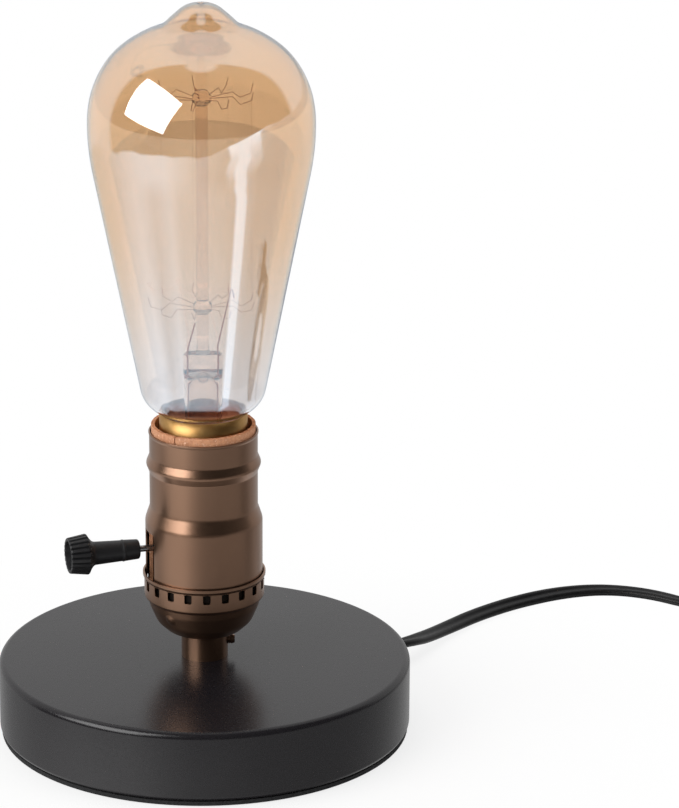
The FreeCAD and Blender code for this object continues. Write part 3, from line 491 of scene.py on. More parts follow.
# Painted shade: the shell's inside, and its part tucked into the cap and seen only through the windows,
# take the near-black brass.
shell_mesh.materials.append(dark_brass_painted_shade)
for face in shell_mesh.polygons:
    if face.center.z * 1000 < tuck_top:
        face.material_index = 1
thickened(socket_sleeve, sheet_wall)
eased(socket_sleeve, 0.1)

# ---------------------------------------------------------------- fibre sleeve
# The insulating sleeve inside the shell: fibre sheet rolled to a tube with an open seam, cut
# away behind the key slot. Its raw upper edge stands out of the shell.

sleeve_low, sleeve_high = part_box("shell_liner")
sleeve_radius = 15.05
sleeve_wall = 1.05
seam_middle = math.radians(42.6)
seam_half = 0.017
ragged = random.Random(5)
sleeve_path = round_corners(
    [
        (15.9, sleeve_low.z * 1000),
        (15.9, 63.8),
        (sleeve_radius, 68.0),
        (sleeve_radius, sleeve_high.z * 1000),
    ],
    [3, 3],
)
sleeve_path = cut_at(sleeve_path, [slot_top] + [sleeve_path[-1].y - 0.6 * i for i in range(5, 0, -1)])
sleeve_slot_row = row_at(sleeve_path, slot_top)
sleeve_angles = sorted(shell_angles + [seam_middle - seam_half, seam_middle + seam_half])
edge_wander = [ragged.uniform(-0.10, 0.10) for angle in sleeve_angles]


def sleeve_place(row, angle, radius, height):
    """Turns the sleeve with the key slot and leaves its upper edge a little ragged."""
    if row == len(sleeve_path) - 1:
        height += edge_wander[sleeve_angles.index(angle)] - 0.1
    if abs(angle - seam_middle) < 2 * seam_half:
        angle += 0.35 * seam_half * math.sin(height * 2.3)
    return angle + key_turn, radius, height


def sleeve_open(row, column):
    """The key slot and the seam."""
    low = sleeve_angles[column]
    in_slot = row < sleeve_slot_row and slot_angles[0] - 1e-6 < low < slot_angles[-1] - 1e-6
    return in_slot or abs(low - seam_middle + seam_half) < 1e-6


sleeve_mesh = lathe(sleeve_path, sleeve_angles, closed=False, place_of=sleeve_place, is_open=sleeve_open)
fibre_sleeve = new_piece("fibre_sleeve", sleeve_mesh, fibre_board, "lamp", "shell_liner")
thickened(fibre_sleeve, sleeve_wall)
eased(fibre_sleeve, 0.12)

# ---------------------------------------------------------------- switch and screw shell
# Inside the socket: a two-part phenolic body with the turn switch, a spring under the bulb's
# foot, and a threaded brass sleeve held by two rivets.

# Phenolic, compression moulded: near black brown, slightly glossy.
phenolic = mottled("phenolic", "#171210", "#2c2320", 4.0, {"Roughness": 0.35, "IOR": 1.6})
wear(["switch_base", "switch_top", "switch_rotor"], phenolic)

# Brass, rolled and stamped: warm yellow, with faint dull patches.
brass = mottled("brass", "#a9793f", "#dcb477", 3.0, {"Metallic": 1.0}, gloss=(0.32, 0.52), detail=4.0)
wear(["switch_rivets", "centre_contact_spring", "socket_screw_shell"], brass)

# ---------------------------------------------------------------- key
# A round steel shaft turns the switch. Its knob is moulded black plastic: a long tapered stem
# with a ring, and a fluted cup-shaped head.

# Steel, drawn and bright.
bright_steel = mottled("bright_steel", "#a3a3a5", "#dcdcde", 0.8, {"Metallic": 1.0, "Roughness": 0.25})
wear(["key_shaft"], bright_steel)

key_height = 56.7
stem_start = 19.6
head_start = 34.8
head_end = 40.5
head_inner = 5.95
head_outer = 5.15
head_rim = 0.9
head_hollow = 3.6
flute_count = 22
flute_depth = 0.55
knob_path = round_corners(
    [
        (0.95, stem_start),
        (2.85, stem_start),
        (3.1, 24.0),
        (3.22, 24.3),
        (3.05, 24.9),
        (3.4, head_start - 1.6),
        (head_inner - 1.2, head_start - 0.5),
        (head_inner, head_start + 0.2),
        (head_outer, head_end),
        (head_outer - head_rim, head_end),
        (head_outer - head_rim - 0.4, head_end - head_hollow),
        (0.0, head_end - head_hollow),
    ],
    [0.5, 0.2, 0.2, 0.2, 1.6, 0.6, 0.4, 0.4, 0.3, 0.5],
    5,
)


def knob_place(row, angle, radius, height):
    """Cuts the flutes into the side of the head."""
    if head_start - 0.6 < height < head_end + 0.1 and radius > head_outer - 0.35:
        wave = max(0.0, math.cos(flute_count * angle))
        radius -= flute_depth * wave ** 1.5
    return angle, radius, height


knob_mesh = lathe(knob_path, around(flute_count * 12), closed=False, place_of=knob_place)
laid_level(knob_mesh, (0, 0, key_height / 1000), key_turn)

# Moulded ABS, black: satin, with a faint moulding grain.
key_plastic = mottled("moulded_abs", "#111112", "#1f1f21", 0.5, {"IOR": 1.54}, gloss=(0.36, 0.5))
new_piece("knob", knob_mesh, key_plastic, "key", "key_knob")

# ---------------------------------------------------------------- bulb cap
# A thin brass shell with a rolled thread and a plain collar. A solder-tipped contact set in
# black glass closes its foot.

thread_pitch = 3.629
thread_root = 12.25
thread_depth = 0.85
thread_start = 78.4
thread_turns = 3.1
crest_half = 0.35
ridge_half = 0.85
cap_low, cap_high = (corner.z * 1000 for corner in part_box("bulb_screw_shell"))
cap_collar = 12.72
bulb_cap_path = round_corners(
    [
        (8.2, cap_low),
        (thread_root, cap_low + 1.4),
        (thread_root, thread_start + thread_pitch * thread_turns + 1.2),
        (cap_collar, thread_start + thread_pitch * thread_turns + 2.0),
        (cap_collar, cap_high),
    ],
    [0.8, 0.6, 0.6],
)
thread_rows = [cap_low + 2.0 + 0.22 * i for i in range(60)]
bulb_cap_path = cut_at(bulb_cap_path, thread_rows)


def thread_place(row, angle, radius, height):
    """Raises the rolled thread, right-handed, with both its ends run out."""
    turned_by = (height - thread_start) / thread_pitch
    nearest = round(turned_by - angle / (2 * math.pi))
    off = abs(turned_by - angle / (2 * math.pi) - nearest) * thread_pitch
    along = nearest + angle / (2 * math.pi)
    rise = min(1.0, max(0.0, (ridge_half - off) / (ridge_half - crest_half)))
    run_out = min(1.0, max(0.0, along * 4)) * min(1.0, max(0.0, (thread_turns - along) * 4))
    return angle, radius + thread_depth * run_out * (3 * rise ** 2 - 2 * rise ** 3), height


bulb_cap_mesh = lathe(bulb_cap_path, around(144), closed=False, place_of=thread_place)
bulb_cap = new_piece("bulb_cap", bulb_cap_mesh, brass, "bulb", "bulb_screw_shell")
thickened(bulb_cap, 0.35)

# Solder: soft grey, dull.
solder = mottled("solder", "#8f8f8e", "#bfbfbd", 0.8, {"Metallic": 1.0, "Roughness": 0.5})
wear(["bulb_tip_contact"], solder)

# Vitrite: glossy black-purple glass.
vitrite = mottled("vitrite", "#120f14", "#1f1a24", 3.0, {"Roughness": 0.08, "IOR": 1.6})
wear(["bulb_insulator"], vitrite)

# ---------------------------------------------------------------- basing cement
# A thin ring of baked cement glues the glass neck into the brass shell, and fills the shell
# under the flare.

# Basing cement, a filled resin baked hard: pinkish brown and dull.
basing_cement = mottled("basing_cement", "#b0735c", "#eec0ac", 2.5, {"Roughness": 0.75}, detail=4.0)
cement_outline = [(4.2, 84.0), (11.88, 84.0), (11.88, 95.4), (11.67, 95.4), (11.67, 87.75), (4.2, 87.6)]
cement_mesh = lathe(cement_outline, around(96))
new_piece("cement_ring", cement_mesh, basing_cement, "bulb", None)

# ---------------------------------------------------------------- mount inside the bulb
# A flare tube pressed flat round the two lead wires carries a glass rod. Two rings of fine
# wire hooks on its hubs hold the filament, a single wire that runs up and down.


def lets_light_by(tree, skin, tint):
    """Makes a glass the material's surface, and lets lamplight through it in this tint, as thin
    glass does, to what stands inside or behind it."""
    through = add_node(tree, "BsdfTransparent", {"Color": linear(tint)})
    shade_ray = add_node(tree, "LightPath").outputs["Is Shadow Ray"]
    both = add_node(tree, "MixShader", {"Fac": shade_ray, 1: skin, 2: through})
    add_node(tree, "OutputMaterial", {"Surface": both})


# Soda-lime glass, flame worked: clear and shiny. Real glass has an index near 1.5; a lower one
# keeps the dark rims of such thin tubes fine.
clear_glass, tree, place = new_material("soda_lime_glass")
skin = add_node(
    tree,
    "BsdfPrincipled",
    {"Base Color": linear("#f8efe8"), "Roughness": 0.0, "IOR": 1.36, "Transmission Weight": 1.0},
)
lets_light_by(tree, skin, "#f4efe9")

flare_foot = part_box("bulb_flare")[0].z * 1000
press_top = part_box("bulb_flare")[1].z * 1000
press_foot = press_top - 5.7
press_half_thick = 2.1
flare_outline = [Vector(spot) for spot in ((11.2, flare_foot + 0.3), (11.6, flare_foot))]
flare_outline += round_corners(
    [
        (11.6, flare_foot + 0.2),
        (6.9, flare_foot + 1.2),
        (5.45, flare_foot + 5.0),
        (5.45, press_foot - 3.0),
        (5.65, press_foot),
        (5.65, press_top),
        (0.0, press_top),
    ],
    [1.5, 3, 0, 0, 0.9],
)
press_rows = [press_foot - 5 + 0.5 * i for i in range(12)]
flare_outline = cut_at(flare_outline[:-1], press_rows) + flare_outline[-1:]
tube_inside = cut_at(
    [
        Vector((6.1, flare_foot + 1.6)),
        Vector((4.65, flare_foot + 5.0)),
        Vector((4.65, press_foot - 1.6)),
        Vector((3.4, press_foot - 0.9)),
        Vector((0.0, press_foot - 0.8)),
    ],
    press_rows[:7],
)
press_heights = [press_foot - 4, press_foot - 1.6, press_foot + 0.3]
half_depths = [7.5, 4.4, press_half_thick]


def flattened(row, angle, radius, height):
    """Presses the upper end of the tube flat, front to back."""
    limit = float(np.interp(height, press_heights, half_depths))
    depth = abs(radius * math.sin(angle)) / limit
    depth = math.copysign(limit * depth / (1 + depth ** 6) ** (1 / 6), math.sin(angle))
    wide = radius * math.cos(angle)
    return math.atan2(depth, wide), math.hypot(depth, wide), height


flare_mesh = lathe(flare_outline + tube_inside[::-1], around(96), place_of=flattened)
new_piece("flare_tube", flare_mesh, clear_glass, "bulb", "bulb_flare")

# The vent on the front of the press: a hole blown through, with a rounded rim.
vent_radius = 1.25
vent_rim = 0.45
vent_middle = (0, -0.0049, (press_foot + 0.1) / 1000)
vent_tilt = math.radians(72)
vent_path = [Vector((vent_radius + vent_rim * math.cos(t), vent_rim * math.sin(t))) for t in around(16)]
vent_mesh = lathe(vent_path, around(40))
vent_mesh.transform(Matrix.Translation(vent_middle) @ Matrix.Rotation(vent_tilt, 4, "X"))
new_piece("vent_rim", vent_mesh, clear_glass, "bulb", None)

rod_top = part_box("bulb_rod")[1].z * 1000
upper_hub = rod_top - 3.4
lower_hub = 128.2
rod_radius = 1.75
hub_radius = 2.6
rod_path = [(0.0, press_top + 0.02), (rod_radius + 0.5, press_top + 0.02), (rod_radius, press_top + 1.6)]
rod_radii = [0.3, 1.5]
for hub in (lower_hub, upper_hub):
    rod_path += [(rod_radius, hub - 1.9), (hub_radius, hub - 1.0), (hub_radius, hub + 1.0)]
    rod_radii += [0.5, 0.8, 0.8]
    if hub == lower_hub:
        rod_path.append((rod_radius, hub + 1.9))
        rod_radii.append(0.5)
rod_path += [(1.6, upper_hub + 2.4), (0.0, upper_hub + 2.6)]
rod_radii.append(0.8)
rod_mesh = lathe(round_corners(rod_path, rod_radii, 5), around(48), closed=False)
new_piece("glass_rod", rod_mesh, clear_glass, "bulb", "bulb_rod")

# Molybdenum and nickel wire, browned by heat: coppery, with little metal lustre left.
mount_wire = mottled("molybdenum_wire", "#8a5138", "#ae6339", 5.0, {"Metallic": 0.2, "Roughness": 0.45})


def wire_mesh(routes, radius_mm):
    """Round wires along these points, in mm, as one mesh."""
    curve = bpy.data.curves.new("wires", "CURVE")
    curve.dimensions = "3D"
    curve.bevel_depth = radius_mm / 1000
    curve.bevel_resolution = 2
    curve.use_fill_caps = True
    for route in routes:
        spline = curve.splines.new("POLY")
        spline.points.add(len(route) - 1)
        for point, spot in zip(spline.points, route):
            point.co = (*(Vector(spot) / 1000), 1)
    holder = bpy.data.objects.new("wires", curve)
    mesh = bpy.data.meshes.new_from_object(holder)
    bpy.data.objects.remove(holder)
    bpy.data.curves.remove(curve)
    return mesh


hook_count = 9
hook_start = math.radians(20.0)
hook_radius = 0.085
strand_radius = 0.014
strand_out = 14.9
strand_rise = 1.7
lead_wire_radius = 0.24
hook_bend = random.Random(11)


def hooks(height):
    """Wires round one hub: out, down and up again to a short upright end."""
    routes = []
    for turn in around(hook_count):
        route = []
        for out, up in ((2.3, 0.0), (9.3, 1.1), (11.6, -0.7), (14.7, 0.4), (15.5, 2.9)):
            aside = hook_start + turn + hook_bend.uniform(-0.03, 0.03)
            rise = height + up + hook_bend.uniform(-0.25, 0.25)
            route.append((out * math.cos(aside), out * math.sin(aside), rise))
        routes.append(route)
    return routes


strand = []
for i, turn in enumerate(around(hook_count)):
    x, y = strand_out * math.cos(hook_start + turn), strand_out * math.sin(hook_start + turn)
    ends = [(x, y, hub + strand_rise) for hub in (lower_hub, upper_hub)]
    strand += ends if i % 2 == 0 else ends[::-1]
lead_wires = [
    [(-4.2, 0, 89), (-4.3, 0, 100), (-4.35, 0, 114.6), (-4.15, 0, 116.2), (-2.15, 0, 123.4)],
    [
        (4.3, 0, 89), (4.15, 0, 100), (4.35, 0, 112), (4.3, 0, 116.8), (8.1, 0, 133.3),
        (8.5, 0, 133.2), (9.0, 0, 130.8),
    ],
]
for name, routes, radius, node in (
    ("upper_hooks", hooks(upper_hub), hook_radius, "upper_supports"),
    ("lower_hooks", hooks(lower_hub), hook_radius, "lower_supports"),
    ("filament", [strand], strand_radius, "bulb_filament"),
    ("lead_wires", lead_wires, lead_wire_radius, "bulb_leads"),
):
    new_piece(name, wire_mesh(routes, radius), mount_wire, "bulb", node)

# ---------------------------------------------------------------- bulb glass
# Blown glass, drop-shaped, with the drawn tip where the pump tube was melted off. A thin lustre
# gives its amber tint.

bulb_radius = 32.1
widest = 181.5
bulb_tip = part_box("bulb_glass")[1].z * 1000
glass_wall = 0.7
neck_radius = 11.65
neck_foot = 88.0
shoulder_height = 99.9
taper = 0.199
belly_radius = 70.0
belly_corner = widest - belly_radius * math.tan(math.atan(taper) / 2)
glass_side = round_corners(
    [
        (neck_radius, neck_foot),
        (neck_radius, 96.7),
        (bulb_radius - taper * (belly_corner - shoulder_height), shoulder_height),
        (bulb_radius, belly_corner),
        (bulb_radius, widest),
    ],
    [0.5, 9.0, belly_radius],
    16,
)
dome_shares = [(1, 0), (0.972, 0.252), (0.888, 0.464), (0.770, 0.626), (0.604, 0.757), (0.446, 0.838)]
dome_shares += [(0.333, 0.891), (0.277, 0.944), (0.218, 0.997), (0.150, 1.050)]
dome_knots = [Vector((bulb_radius * out, widest + bulb_radius * up)) for out, up in dome_shares]
dome_knots.append(Vector((0.0, bulb_tip)))


def smooth_through(knots, start_way, end_way, steps):
    """Points on a smooth cubic curve through the knots, with its directions at both ends."""
    spans = [(b - a).length for a, b in zip(knots, knots[1:])]
    count = len(knots)
    rows = np.zeros((count, count))
    sides = np.zeros((count, 2))
    rows[0, 0] = rows[-1, -1] = 1
    sides[0], sides[-1] = start_way, end_way
    for i in range(1, count - 1):
        rows[i, i - 1:i + 2] = spans[i], 2 * (spans[i - 1] + spans[i]), spans[i - 1]
        before = np.array(knots[i] - knots[i - 1]) * spans[i] / spans[i - 1]
        after = np.array(knots[i + 1] - knots[i]) * spans[i - 1] / spans[i]
        sides[i] = 3 * (before + after)
    ways = [Vector(way) for way in np.linalg.solve(rows, sides)]
    curve = [knots[0]]
    for i, span in enumerate(spans):
        for k in range(1, steps + 1):
            t = k / steps
            curve.append(
                knots[i] * (1 + 2 * t) * (1 - t) ** 2
                + ways[i] * span * t * (1 - t) ** 2
                + knots[i + 1] * t * t * (3 - 2 * t)
                - ways[i + 1] * span * t * t * (1 - t)
            )
    return curve


dome = smooth_through(dome_knots, (0, 1), (-1, 0), 8)
glass_path = glass_side + dome[1:]
inner_glass = [point for point in inner_side(glass_path, glass_wall)[:-1] if point.x > 0.3]
inner_glass.append(Vector((0.0, bulb_tip - 2 * glass_wall)))

# Glass with a thin lustre of metal oxide, which reflects more than bare glass and passes amber
# light. It thins out towards the neck. Light that passes the bulb crosses four surfaces, and
# each holds back a fourth of the tint.
amber_glass, tree, place = new_material("amber_glass")
height = add_node(tree, "SeparateXYZ", {"Vector": place}).outputs["Z"]
amber = add_node(
    tree,
    "MapRange",
    {"Value": height, "From Min": 0.098, "From Max": 0.160},
    interpolation_type="SMOOTHSTEP",
)
tone = add_node(tree, "MixRGB", {"Fac": amber, "Color1": linear("#fbf8f6"), "Color2": linear("#ffe8ca")})
skin = add_node(
    tree,
    "BsdfPrincipled",
    {
        "Base Color": tone,
        "Roughness": 0.0,
        "IOR": 1.5,
        "Transmission Weight": 1.0,
        "Thin Film Thickness": 56.0,
        "Thin Film IOR": 2.2,
    },
)
lets_light_by(tree, skin, "#f3e6d6")
bulb_mesh = lathe(glass_path + inner_glass[::-1], around(256))
new_piece("glass_bulb", bulb_mesh, amber_glass, "bulb", "bulb_glass", 80)

# ---------------------------------------------------------------- lead on the table
# A flat twin lead, two stranded cores side by side in one PVC jacket, 4.8 by 2.4 mm. It curves
# off to the right; the rest of its 1.7 m is put away in a neat two-layer coil with a tie.

lead_width = 4.8
lead_thickness = 2.4
gland_tip = (57.2, 44.05, 6.2)
lead_route = [
    gland_tip,
    (62.75, 48.3, 5.9), (68.2, 56.6, 4.0), (75.4, 67.9, 2.4), (85.8, 80.3, 2.0),
    (99.2, 91.2, 2.0), (114.0, 99.2, 2.0), (128.4, 101.9, 2.0), (142.6, 97.6, 2.0),
    (154.5, 87.6, 2.1), (168.5, 79.6, 2.3), (184.6, 72.6, 2.6), (201.3, 61.3, 2.6),
    (213.6, 54.56, 2.6),
]
coil_centre = Vector((199.5, 18.8, 0))
coil_inner = 19.5
coil_pitch = 4.55
coil_foot = 2.6
coil_turns = 8.2
coil_start_turn = math.radians(62.5)
points_per_turn = 24
straight_end = 8.0
coil_angle = coil_turns * 2 * math.pi


def coil_point(angle):
    """The lead's middle, this far round: in along the table, up, and out on top."""
    past = angle - coil_angle / 2
    if abs(past) < math.pi / 2:
        reach = past * past / math.pi + math.pi / 4
        height = coil_foot + coil_pitch * (1 + math.sin(past)) / 2
    else:
        reach = abs(past)
        height = coil_foot + (coil_pitch if past > 0 else 0)
    radius = coil_inner + coil_pitch * reach / (2 * math.pi)
    turn = coil_start_turn - angle
    return coil_centre + Vector((radius * math.cos(turn), radius * math.sin(turn), height))


coil_points = round(coil_turns * points_per_turn)
route = [Vector(point) for point in lead_route]
route += [coil_point(coil_angle * i / coil_points) for i in range(1, coil_points + 1)]
plug_way = (coil_point(coil_angle) - coil_point(coil_angle - 0.01)).normalized()
plug_way.z = 0
coil_end = coil_point(coil_angle) + plug_way * straight_end
route.append(coil_end)

line = bpy.data.curves.new("lead_line", "CURVE")
line.dimensions = "3D"
spline = line.splines.new("NURBS")
spline.points.add(len(route) - 1)
for point, (x, y, z) in zip(spline.points, route):
    point.co = (x / 1000, y / 1000, z / 1000, 1)
spline.order_u = 3
spline.use_endpoint_u = True
line.resolution_u = 6
line_object = bpy.data.objects.new("lead_line", line)
line_mesh = bpy.data.meshes.new_from_object(line_object)
lead_path = [vert.co.copy() for vert in line_mesh.vertices]
bpy.data.objects.remove(line_object)
bpy.data.curves.remove(line)
bpy.data.meshes.remove(line_mesh)

# How far the flat lead is rolled on its side, in degrees, at distances along it in mm: as it
# lies on the table, and leaning outwards in the coil.
roll_at = [0, 14, 40, 70, 100, 118, 140, 175, 200]
roll_of = [-18, 18, 30, 30, 6, 0, -16, -18, -45]


def lead_section():
    """Points round the lead: two round cores with a shallow groove between them."""
    half = []
    for i in range(13):
        turn = math.radians(-135 + 270 * i / 12)
        half.append((0.5 + 0.5 * math.cos(turn), 0.5 * math.sin(turn)))
    other = [(-x, -y) for x, y in half]
    return [(x * lead_width / 2000, y * lead_thickness / 1000) for x, y in half + other]


section = lead_section()
build = bmesh.new()
gone = 0.0
rings = []
for i, point in enumerate(lead_path):
    if i:
        gone += (point - lead_path[i - 1]).length * 1000
    along = (lead_path[min(i + 1, len(lead_path) - 1)] - lead_path[max(i - 1, 0)]).normalized()
    side = Vector((-along.y, along.x, 0)).normalized()
    up = along.cross(side)
    roll = math.radians(float(np.interp(gone, roll_at, roll_of)))
    wide = side * math.cos(roll) + up * math.sin(roll)
    thick = along.cross(wide)
    rings.append([build.verts.new(point + wide * x + thick * y) for x, y in section])
for low, high in zip(rings, rings[1:]):
    for j in range(len(section)):
        k = (j + 1) % len(section)
        build.faces.new((low[j], low[k], high[k], high[j]))
build.faces.new(rings[0][::-1])
build.faces.new(rings[-1])
bmesh.ops.recalc_face_normals(build, faces=build.faces)
lead_mesh = bpy.data.meshes.new("flat_lead")
build.to_mesh(lead_mesh)
build.free()
flat_lead = new_piece("flat_lead", lead_mesh, black_pvc, "lamp", None, 60)
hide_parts("cord_lead", "cord_coil")

# Moulded nylon: black, with a soft sheen.
nylon = mottled("nylon", "#161617", "#212122", 1.5, {"Roughness": 0.45, "IOR": 1.53})
wear(["cord_tie"], nylon)

# ---------------------------------------------------------------- plug
# Moulded on the end of the lead: a ribbed strain relief, a body with finger grips, and two
# flat brass blades with a nickel finish.

plug_start = 20.0
plug_end = 44.0
plug_half_wide = 11.0
plug_half_thick = coil_end.z
plug_squareness = 4.5
grip_start = 28.5
grip_pitch = 2.2
grip_count = 5
grip_depth = 0.45
relief_tip = 2.7
relief_root = 4.2
rib_count = 6
rib_pitch = 3.0
rib_groove = 0.55
# Distance along the body, half width and half thickness.
plug_steps = [
    (0.0, 4.2, 4.2),
    (0.3, 5.4, 4.8),
    (1.6, 6.6, 5.6),
    (4.0, 8.6, 6.5),
    (6.5, 10.2, plug_half_thick - 0.2),
    (8.0, 10.8, plug_half_thick),
    (8.25, 10.85, plug_half_thick),
]
plug_steps += [(8.5 + 0.2 * i, plug_half_wide, plug_half_thick) for i in range(1, 70)]
plug_steps += [
    (23.4, plug_half_wide, plug_half_thick),
    (23.85, plug_half_wide - 0.25, plug_half_thick - 0.25),
    (24.0, plug_half_wide - 0.7, plug_half_thick - 0.7),
]


def plug_place(row, angle, radius, height):
    """A squarish section with ridges for the fingers across both broad faces."""
    wide, thick = plug_steps[min(max(row - 1, 0), len(plug_steps) - 1)][1:]
    if radius < 0.5:
        return angle, radius, height
    across = abs(math.cos(angle)) / thick
    along = abs(math.sin(angle)) / wide
    out = (across ** plug_squareness + along ** plug_squareness) ** (-1 / plug_squareness)
    on_face = min(1.0, max(0.0, (across / along - 0.95) * 6)) if along > 1e-6 else 1.0
    step = (height - grip_start) / grip_pitch
    if 0 < step < grip_count:
        out -= grip_depth * on_face * (0.5 - 0.5 * math.cos(2 * math.pi * step))
    return angle, out, height


plug_path = [Vector((0.0, plug_start))]
plug_path += [Vector((1.0, plug_start + step)) for step, wide, thick in plug_steps]
plug_path.append(Vector((0.0, plug_end)))
plug_mesh = lathe(plug_path, around(120), closed=False, place_of=plug_place)
relief_path = [Vector((0.0, 0.0)), Vector((relief_tip - 0.3, 0.0)), Vector((relief_tip, 0.3))]
for i in range(rib_count):
    foot = 1.4 + rib_pitch * i
    for ahead, sunk in ((0.0, 0.0), (0.25, 1.0), (0.95, 1.0), (1.2, 0.0)):
        rib_radius = relief_tip + (relief_root - relief_tip) * (foot + ahead) / plug_start
        relief_path.append(Vector((rib_radius - rib_groove * sunk, foot + ahead)))
relief_path += [Vector((relief_root, plug_start)), Vector((0.0, plug_start))]
relief_mesh = lathe(relief_path, around(64), closed=False)
for mesh in (plug_mesh, relief_mesh):
    laid_level(mesh, coil_end / 1000, math.atan2(plug_way.y, plug_way.x))
plug = new_piece("plug", plug_mesh, black_pvc, "lamp", "plug_body")
ribbed_relief = new_piece("ribbed_relief", relief_mesh, black_pvc, "lamp", "plug_relief")
wear(["plug_blades"], bright_steel)

# ---------------------------------------------------------------- table, light and camera
# A pale table in a white studio, with a dark room in front. A large soft light stands at the
# left, a weak one at the right, and one hangs overhead.

table_radius = 3.0
table_gap = 0.0002
floor_build = bmesh.new()
bmesh.ops.create_circle(floor_build, cap_ends=True, radius=table_radius, segments=96)
floor_mesh = bpy.data.meshes.new("table")
floor_build.to_mesh(floor_mesh)
floor_build.free()
table = bpy.data.objects.new("table", floor_mesh)
bpy.context.scene.collection.objects.link(table)
table.location.z = -table_gap
table.visible_glossy = False

# White paper, matt. It glows as bright as the backdrop, so that no edge shows between them, and
# less near the lamp, where its shadow falls.
white_paper, tree, place = new_material("white_paper")
ray = add_node(tree, "LightPath").outputs
from_middle = add_node(tree, "VectorMath", {0: place}, operation="LENGTH").outputs["Value"]
own_light = add_node(
    tree,
    "MapRange",
    {"Value": from_middle, "From Min": 0.06, "From Max": 0.15, "To Min": 0.75, "To Max": 1.0},
)
seen = add_node(
    tree, "Math", {0: ray["Is Camera Ray"], 1: ray["Is Transmission Ray"]}, operation="MAXIMUM"
)
seen = add_node(tree, "Math", {0: seen, 1: ray["Is Glossy Ray"]}, operation="MAXIMUM")
share = add_node(tree, "Math", {0: seen, 1: own_light}, operation="MULTIPLY")
paper = add_node(tree, "BsdfDiffuse", {"Color": linear("#e4e4e4")})
glow = add_node(tree, "Emission", {"Color": linear("#ffffff"), "Strength": 1.0})
both = add_node(tree, "MixShader", {"Fac": share, 1: paper, 2: glow})
add_node(tree, "OutputMaterial", {"Surface": both})
floor_mesh.materials.append(white_paper)

world = bpy.data.worlds.new("white_studio")
bpy.context.scene.world = world
world.use_nodes = True
tree = world.node_tree
tree.nodes.clear()
way = add_node(tree, "TexCoord").outputs["Generated"]
x_y_z = add_node(tree, "SeparateXYZ", {"Vector": way}).outputs
forward = add_node(tree, "Math", {0: x_y_z["Y"], 1: -1.0}, operation="MULTIPLY")
turn = add_node(tree, "Math", {0: x_y_z["X"], 1: forward}, operation="ARCTAN2")
round_share = add_node(tree, "MapRange", {"Value": turn, "From Min": -math.pi, "From Max": math.pi})
# The sides of the strips below bend a little from height to height.
level_only = add_node(tree, "CombineXYZ", {"Z": x_y_z["Z"]})
creases = add_node(tree, "TexNoise", {"Vector": level_only, "Scale": 4.0, "Detail": 1.5})
shift = add_node(tree, "Math", {0: creases, 1: 0.5}, operation="SUBTRACT")
bent_share = add_node(tree, "Math", {0: shift, 1: 0.07, 2: round_share}, operation="MULTIPLY_ADD")

# Brightness round the lamp, as pairs of degrees from the front and value: the table lit from
# the left, and the room over its edge, which is dark in front. lift is how far that edge rises,
# more at the right. The strips are a brighter stretch of table at the right.
brightest = 2.0
overhead, unlit, backdrop = ((value / brightest,) * 3 + (1,) for value in (0.6, 0.45, 1.0))
ramps = {
    "table_far": [
        (-180, 0.6), (-140, 0.4), (-108, 0.6), (-66, 1.3), (-40, 1.35), (-8, 0.7),
        (30, 0.4), (80, 0.33), (108, 0.35), (130, 0.45), (180, 0.6),
    ],
    "table_near": [
        (-180, 0.9), (-120, 0.9), (-80, 1.2), (-58, 0.7), (-38, 1.1), (-25, 0.75), (0, 0.75),
        (36, 0.6), (64, 0.4), (100, 0.5), (125, 0.9), (180, 0.9),
    ],
    "room": [
        (-180, 0.7), (-107, 0.6), (-101, 0.04), (-60, 0.02), (0, 0.04), (60, 0.04), (101, 0.05),
        (107, 0.6), (180, 0.7),
    ],
    "lift": [(-180, 0.0), (8, 0.0), (30, 0.25), (70, 0.65), (180, 0.7)],
    "strip_far": [(-180, 0.0), (26, 0.0), (30, 1.4), (62, 1.4), (65, 0.2), (80, 0.0), (180, 0.0)],
    "strip_near": [(-180, 0.0), (34, 0.0), (38, 1.3), (48, 1.3), (51, 0.2), (64, 0.0), (180, 0.0)],
}
by_turn = {}
for name, stops in ramps.items():
    share = bent_share if name in ("strip_far", "strip_near") else round_share
    ramp = by_turn[name] = add_node(tree, "ValToRGB", {"Fac": share})
    for degrees, value in stops[1:-1]:
        ramp.color_ramp.elements.new((degrees + 180) / 360)
    for element, (degrees, value) in zip(ramp.color_ramp.elements, stops):
        element.position = (degrees + 180) / 360
        element.color = (value / brightest,) * 3 + (1,)

# How far a direction's height, the sine of its elevation, has risen from one value to another.
# The edges of room and strip are wavy.
wobble = add_node(tree, "TexNoise", {"Vector": way, "Scale": 3.0, "Detail": 1.0})
lifted = add_node(tree, "Math", {0: x_y_z["Z"], 1: by_turn["lift"]}, operation="SUBTRACT")
wavy = add_node(tree, "Math", {0: wobble, 1: 0.08, 2: lifted}, operation="MULTIPLY_ADD")
risen = {}
for name, height, low, high, least in (
    ("table", x_y_z["Z"], -0.62, -0.45, 0.0),
    ("strip", wavy, -0.62, -0.32, 0.0),
    ("room", wavy, -0.25, -0.23, 0.0),
    ("overhead", x_y_z["Z"], 0.975, 0.99, 0.0),
    ("beside_lamp", x_y_z["Z"], -0.9, -0.7, 0.1),
):
    risen[name] = add_node(
        tree, "MapRange", {"Value": height, "From Min": low, "From Max": high, "To Min": least}
    )

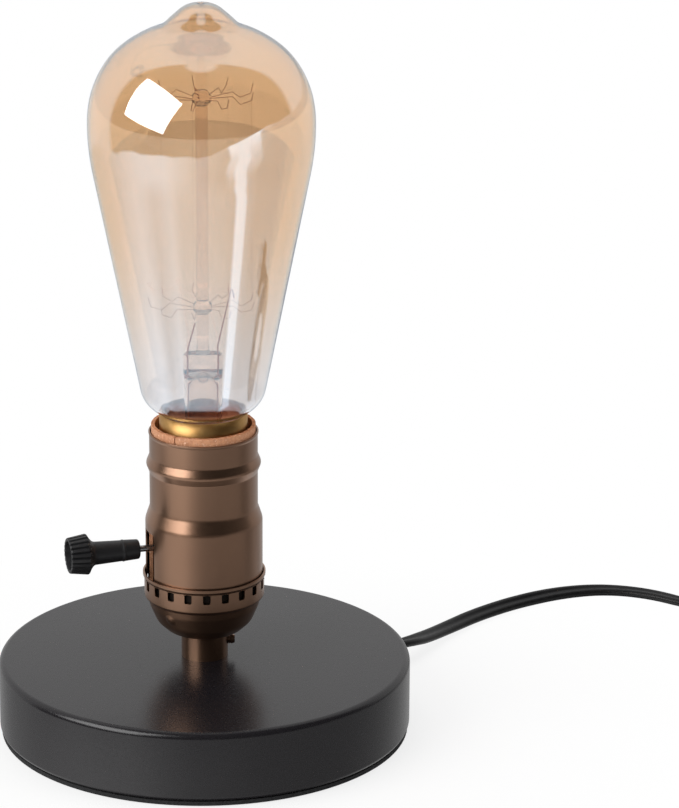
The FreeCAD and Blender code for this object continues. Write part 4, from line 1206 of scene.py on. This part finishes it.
# What gloss sees: the table, the room over its edge, and pale grey overhead. Only the sharp
# mirror of the glass picks out the strip.
ray = add_node(tree, "LightPath").outputs
lit = {}
for name in ("table", "strip"):
    near, far = by_turn[name + "_near"], by_turn[name + "_far"]
    lit[name] = add_node(tree, "MixRGB", {"Fac": risen[name], "Color1": near, "Color2": far})
in_glass = add_node(tree, "Math", {0: ray["Is Singular Ray"], 1: lit["strip"]}, operation="MULTIPLY")
table_glow = add_node(tree, "Math", {0: lit["table"], 1: in_glass}, operation="ADD")
table_glow = add_node(tree, "Math", {0: table_glow, 1: risen["beside_lamp"]}, operation="MULTIPLY")
over_edge = add_node(
    tree, "MixRGB", {"Fac": risen["overhead"], "Color1": by_turn["room"], "Color2": overhead}
)
gloss_sees = add_node(tree, "MixRGB", {"Fac": risen["room"], "Color1": table_glow, "Color2": over_edge})
# The lustre on the bulb mirrors blue more than red, so what the glass mirrors is cooler.
cool = add_node(
    tree, "MixRGB", {"Fac": 1.0, "Color1": gloss_sees, "Color2": linear("#e2eefe")}, blend_type="MULTIPLY"
)
mirrored = add_node(
    tree, "Math", {0: ray["Is Singular Ray"], 1: ray["Is Glossy Ray"]}, operation="MULTIPLY"
)
gloss_sees = add_node(tree, "MixRGB", {"Fac": mirrored, "Color1": gloss_sees, "Color2": cool})
sharp = add_node(
    tree, "Math", {0: ray["Is Glossy Ray"], 1: ray["Is Transmission Ray"]}, operation="MAXIMUM"
)
unseen = add_node(tree, "MixRGB", {"Fac": sharp, "Color1": unlit, "Color2": gloss_sees})
level = add_node(tree, "MixRGB", {"Fac": ray["Is Camera Ray"], "Color1": unseen, "Color2": backdrop})
sky = add_node(tree, "Background", {"Color": level, "Strength": brightest})
add_node(tree, "OutputWorld", {"Surface": sky})


def softbox(name, place, size, watts, in_gloss=True, roll=0.0):
    """A soft rectangular lamp that faces the middle of the object, rolled by some degrees."""
    lamp = bpy.data.lights.new(name, "AREA")
    lamp.shape = "RECTANGLE"
    lamp.size, lamp.size_y = size
    lamp.energy = watts
    box = bpy.data.objects.new(name, lamp)
    bpy.context.scene.collection.objects.link(box)
    box.location = place
    facing = Vector((0, 0, 0.12)) - Vector(place)
    rolled = Matrix.Rotation(math.radians(roll), 3, "Z")
    box.rotation_euler = (facing.to_track_quat("-Z", "Y").to_matrix() @ rolled).to_euler()
    box.visible_glossy = in_gloss
    box.visible_transmission = False


softbox("left_softbox", (-0.8, -0.52, 0.62), (1.0, 0.8), 11.0, roll=-12.0)
softbox("right_softbox", (0.95, -0.3, 0.45), (0.3, 0.9), 2.2, False)
softbox("top_softbox", (0.0, 0.25, 1.3), (1.2, 0.9), 8.0, False)

camera_data = bpy.data.cameras.new("camera")
camera_data.lens = 171.02
camera_data.sensor_width = 36
camera_data.clip_start = 0.05
camera = bpy.data.objects.new("camera", camera_data)
bpy.context.scene.collection.objects.link(camera)
camera.location = (0, -1.04735, 0.44389)
right = Vector((0.9993525, -0.0355844, 0.0053311))
up = Vector((0.0060700, 0.3127670, 0.9498105))
camera.rotation_euler = Matrix((right, up, right.cross(up))).transposed().to_euler()
bpy.context.scene.camera = camera

bpy.context.scene.view_settings.view_transform = "Standard"
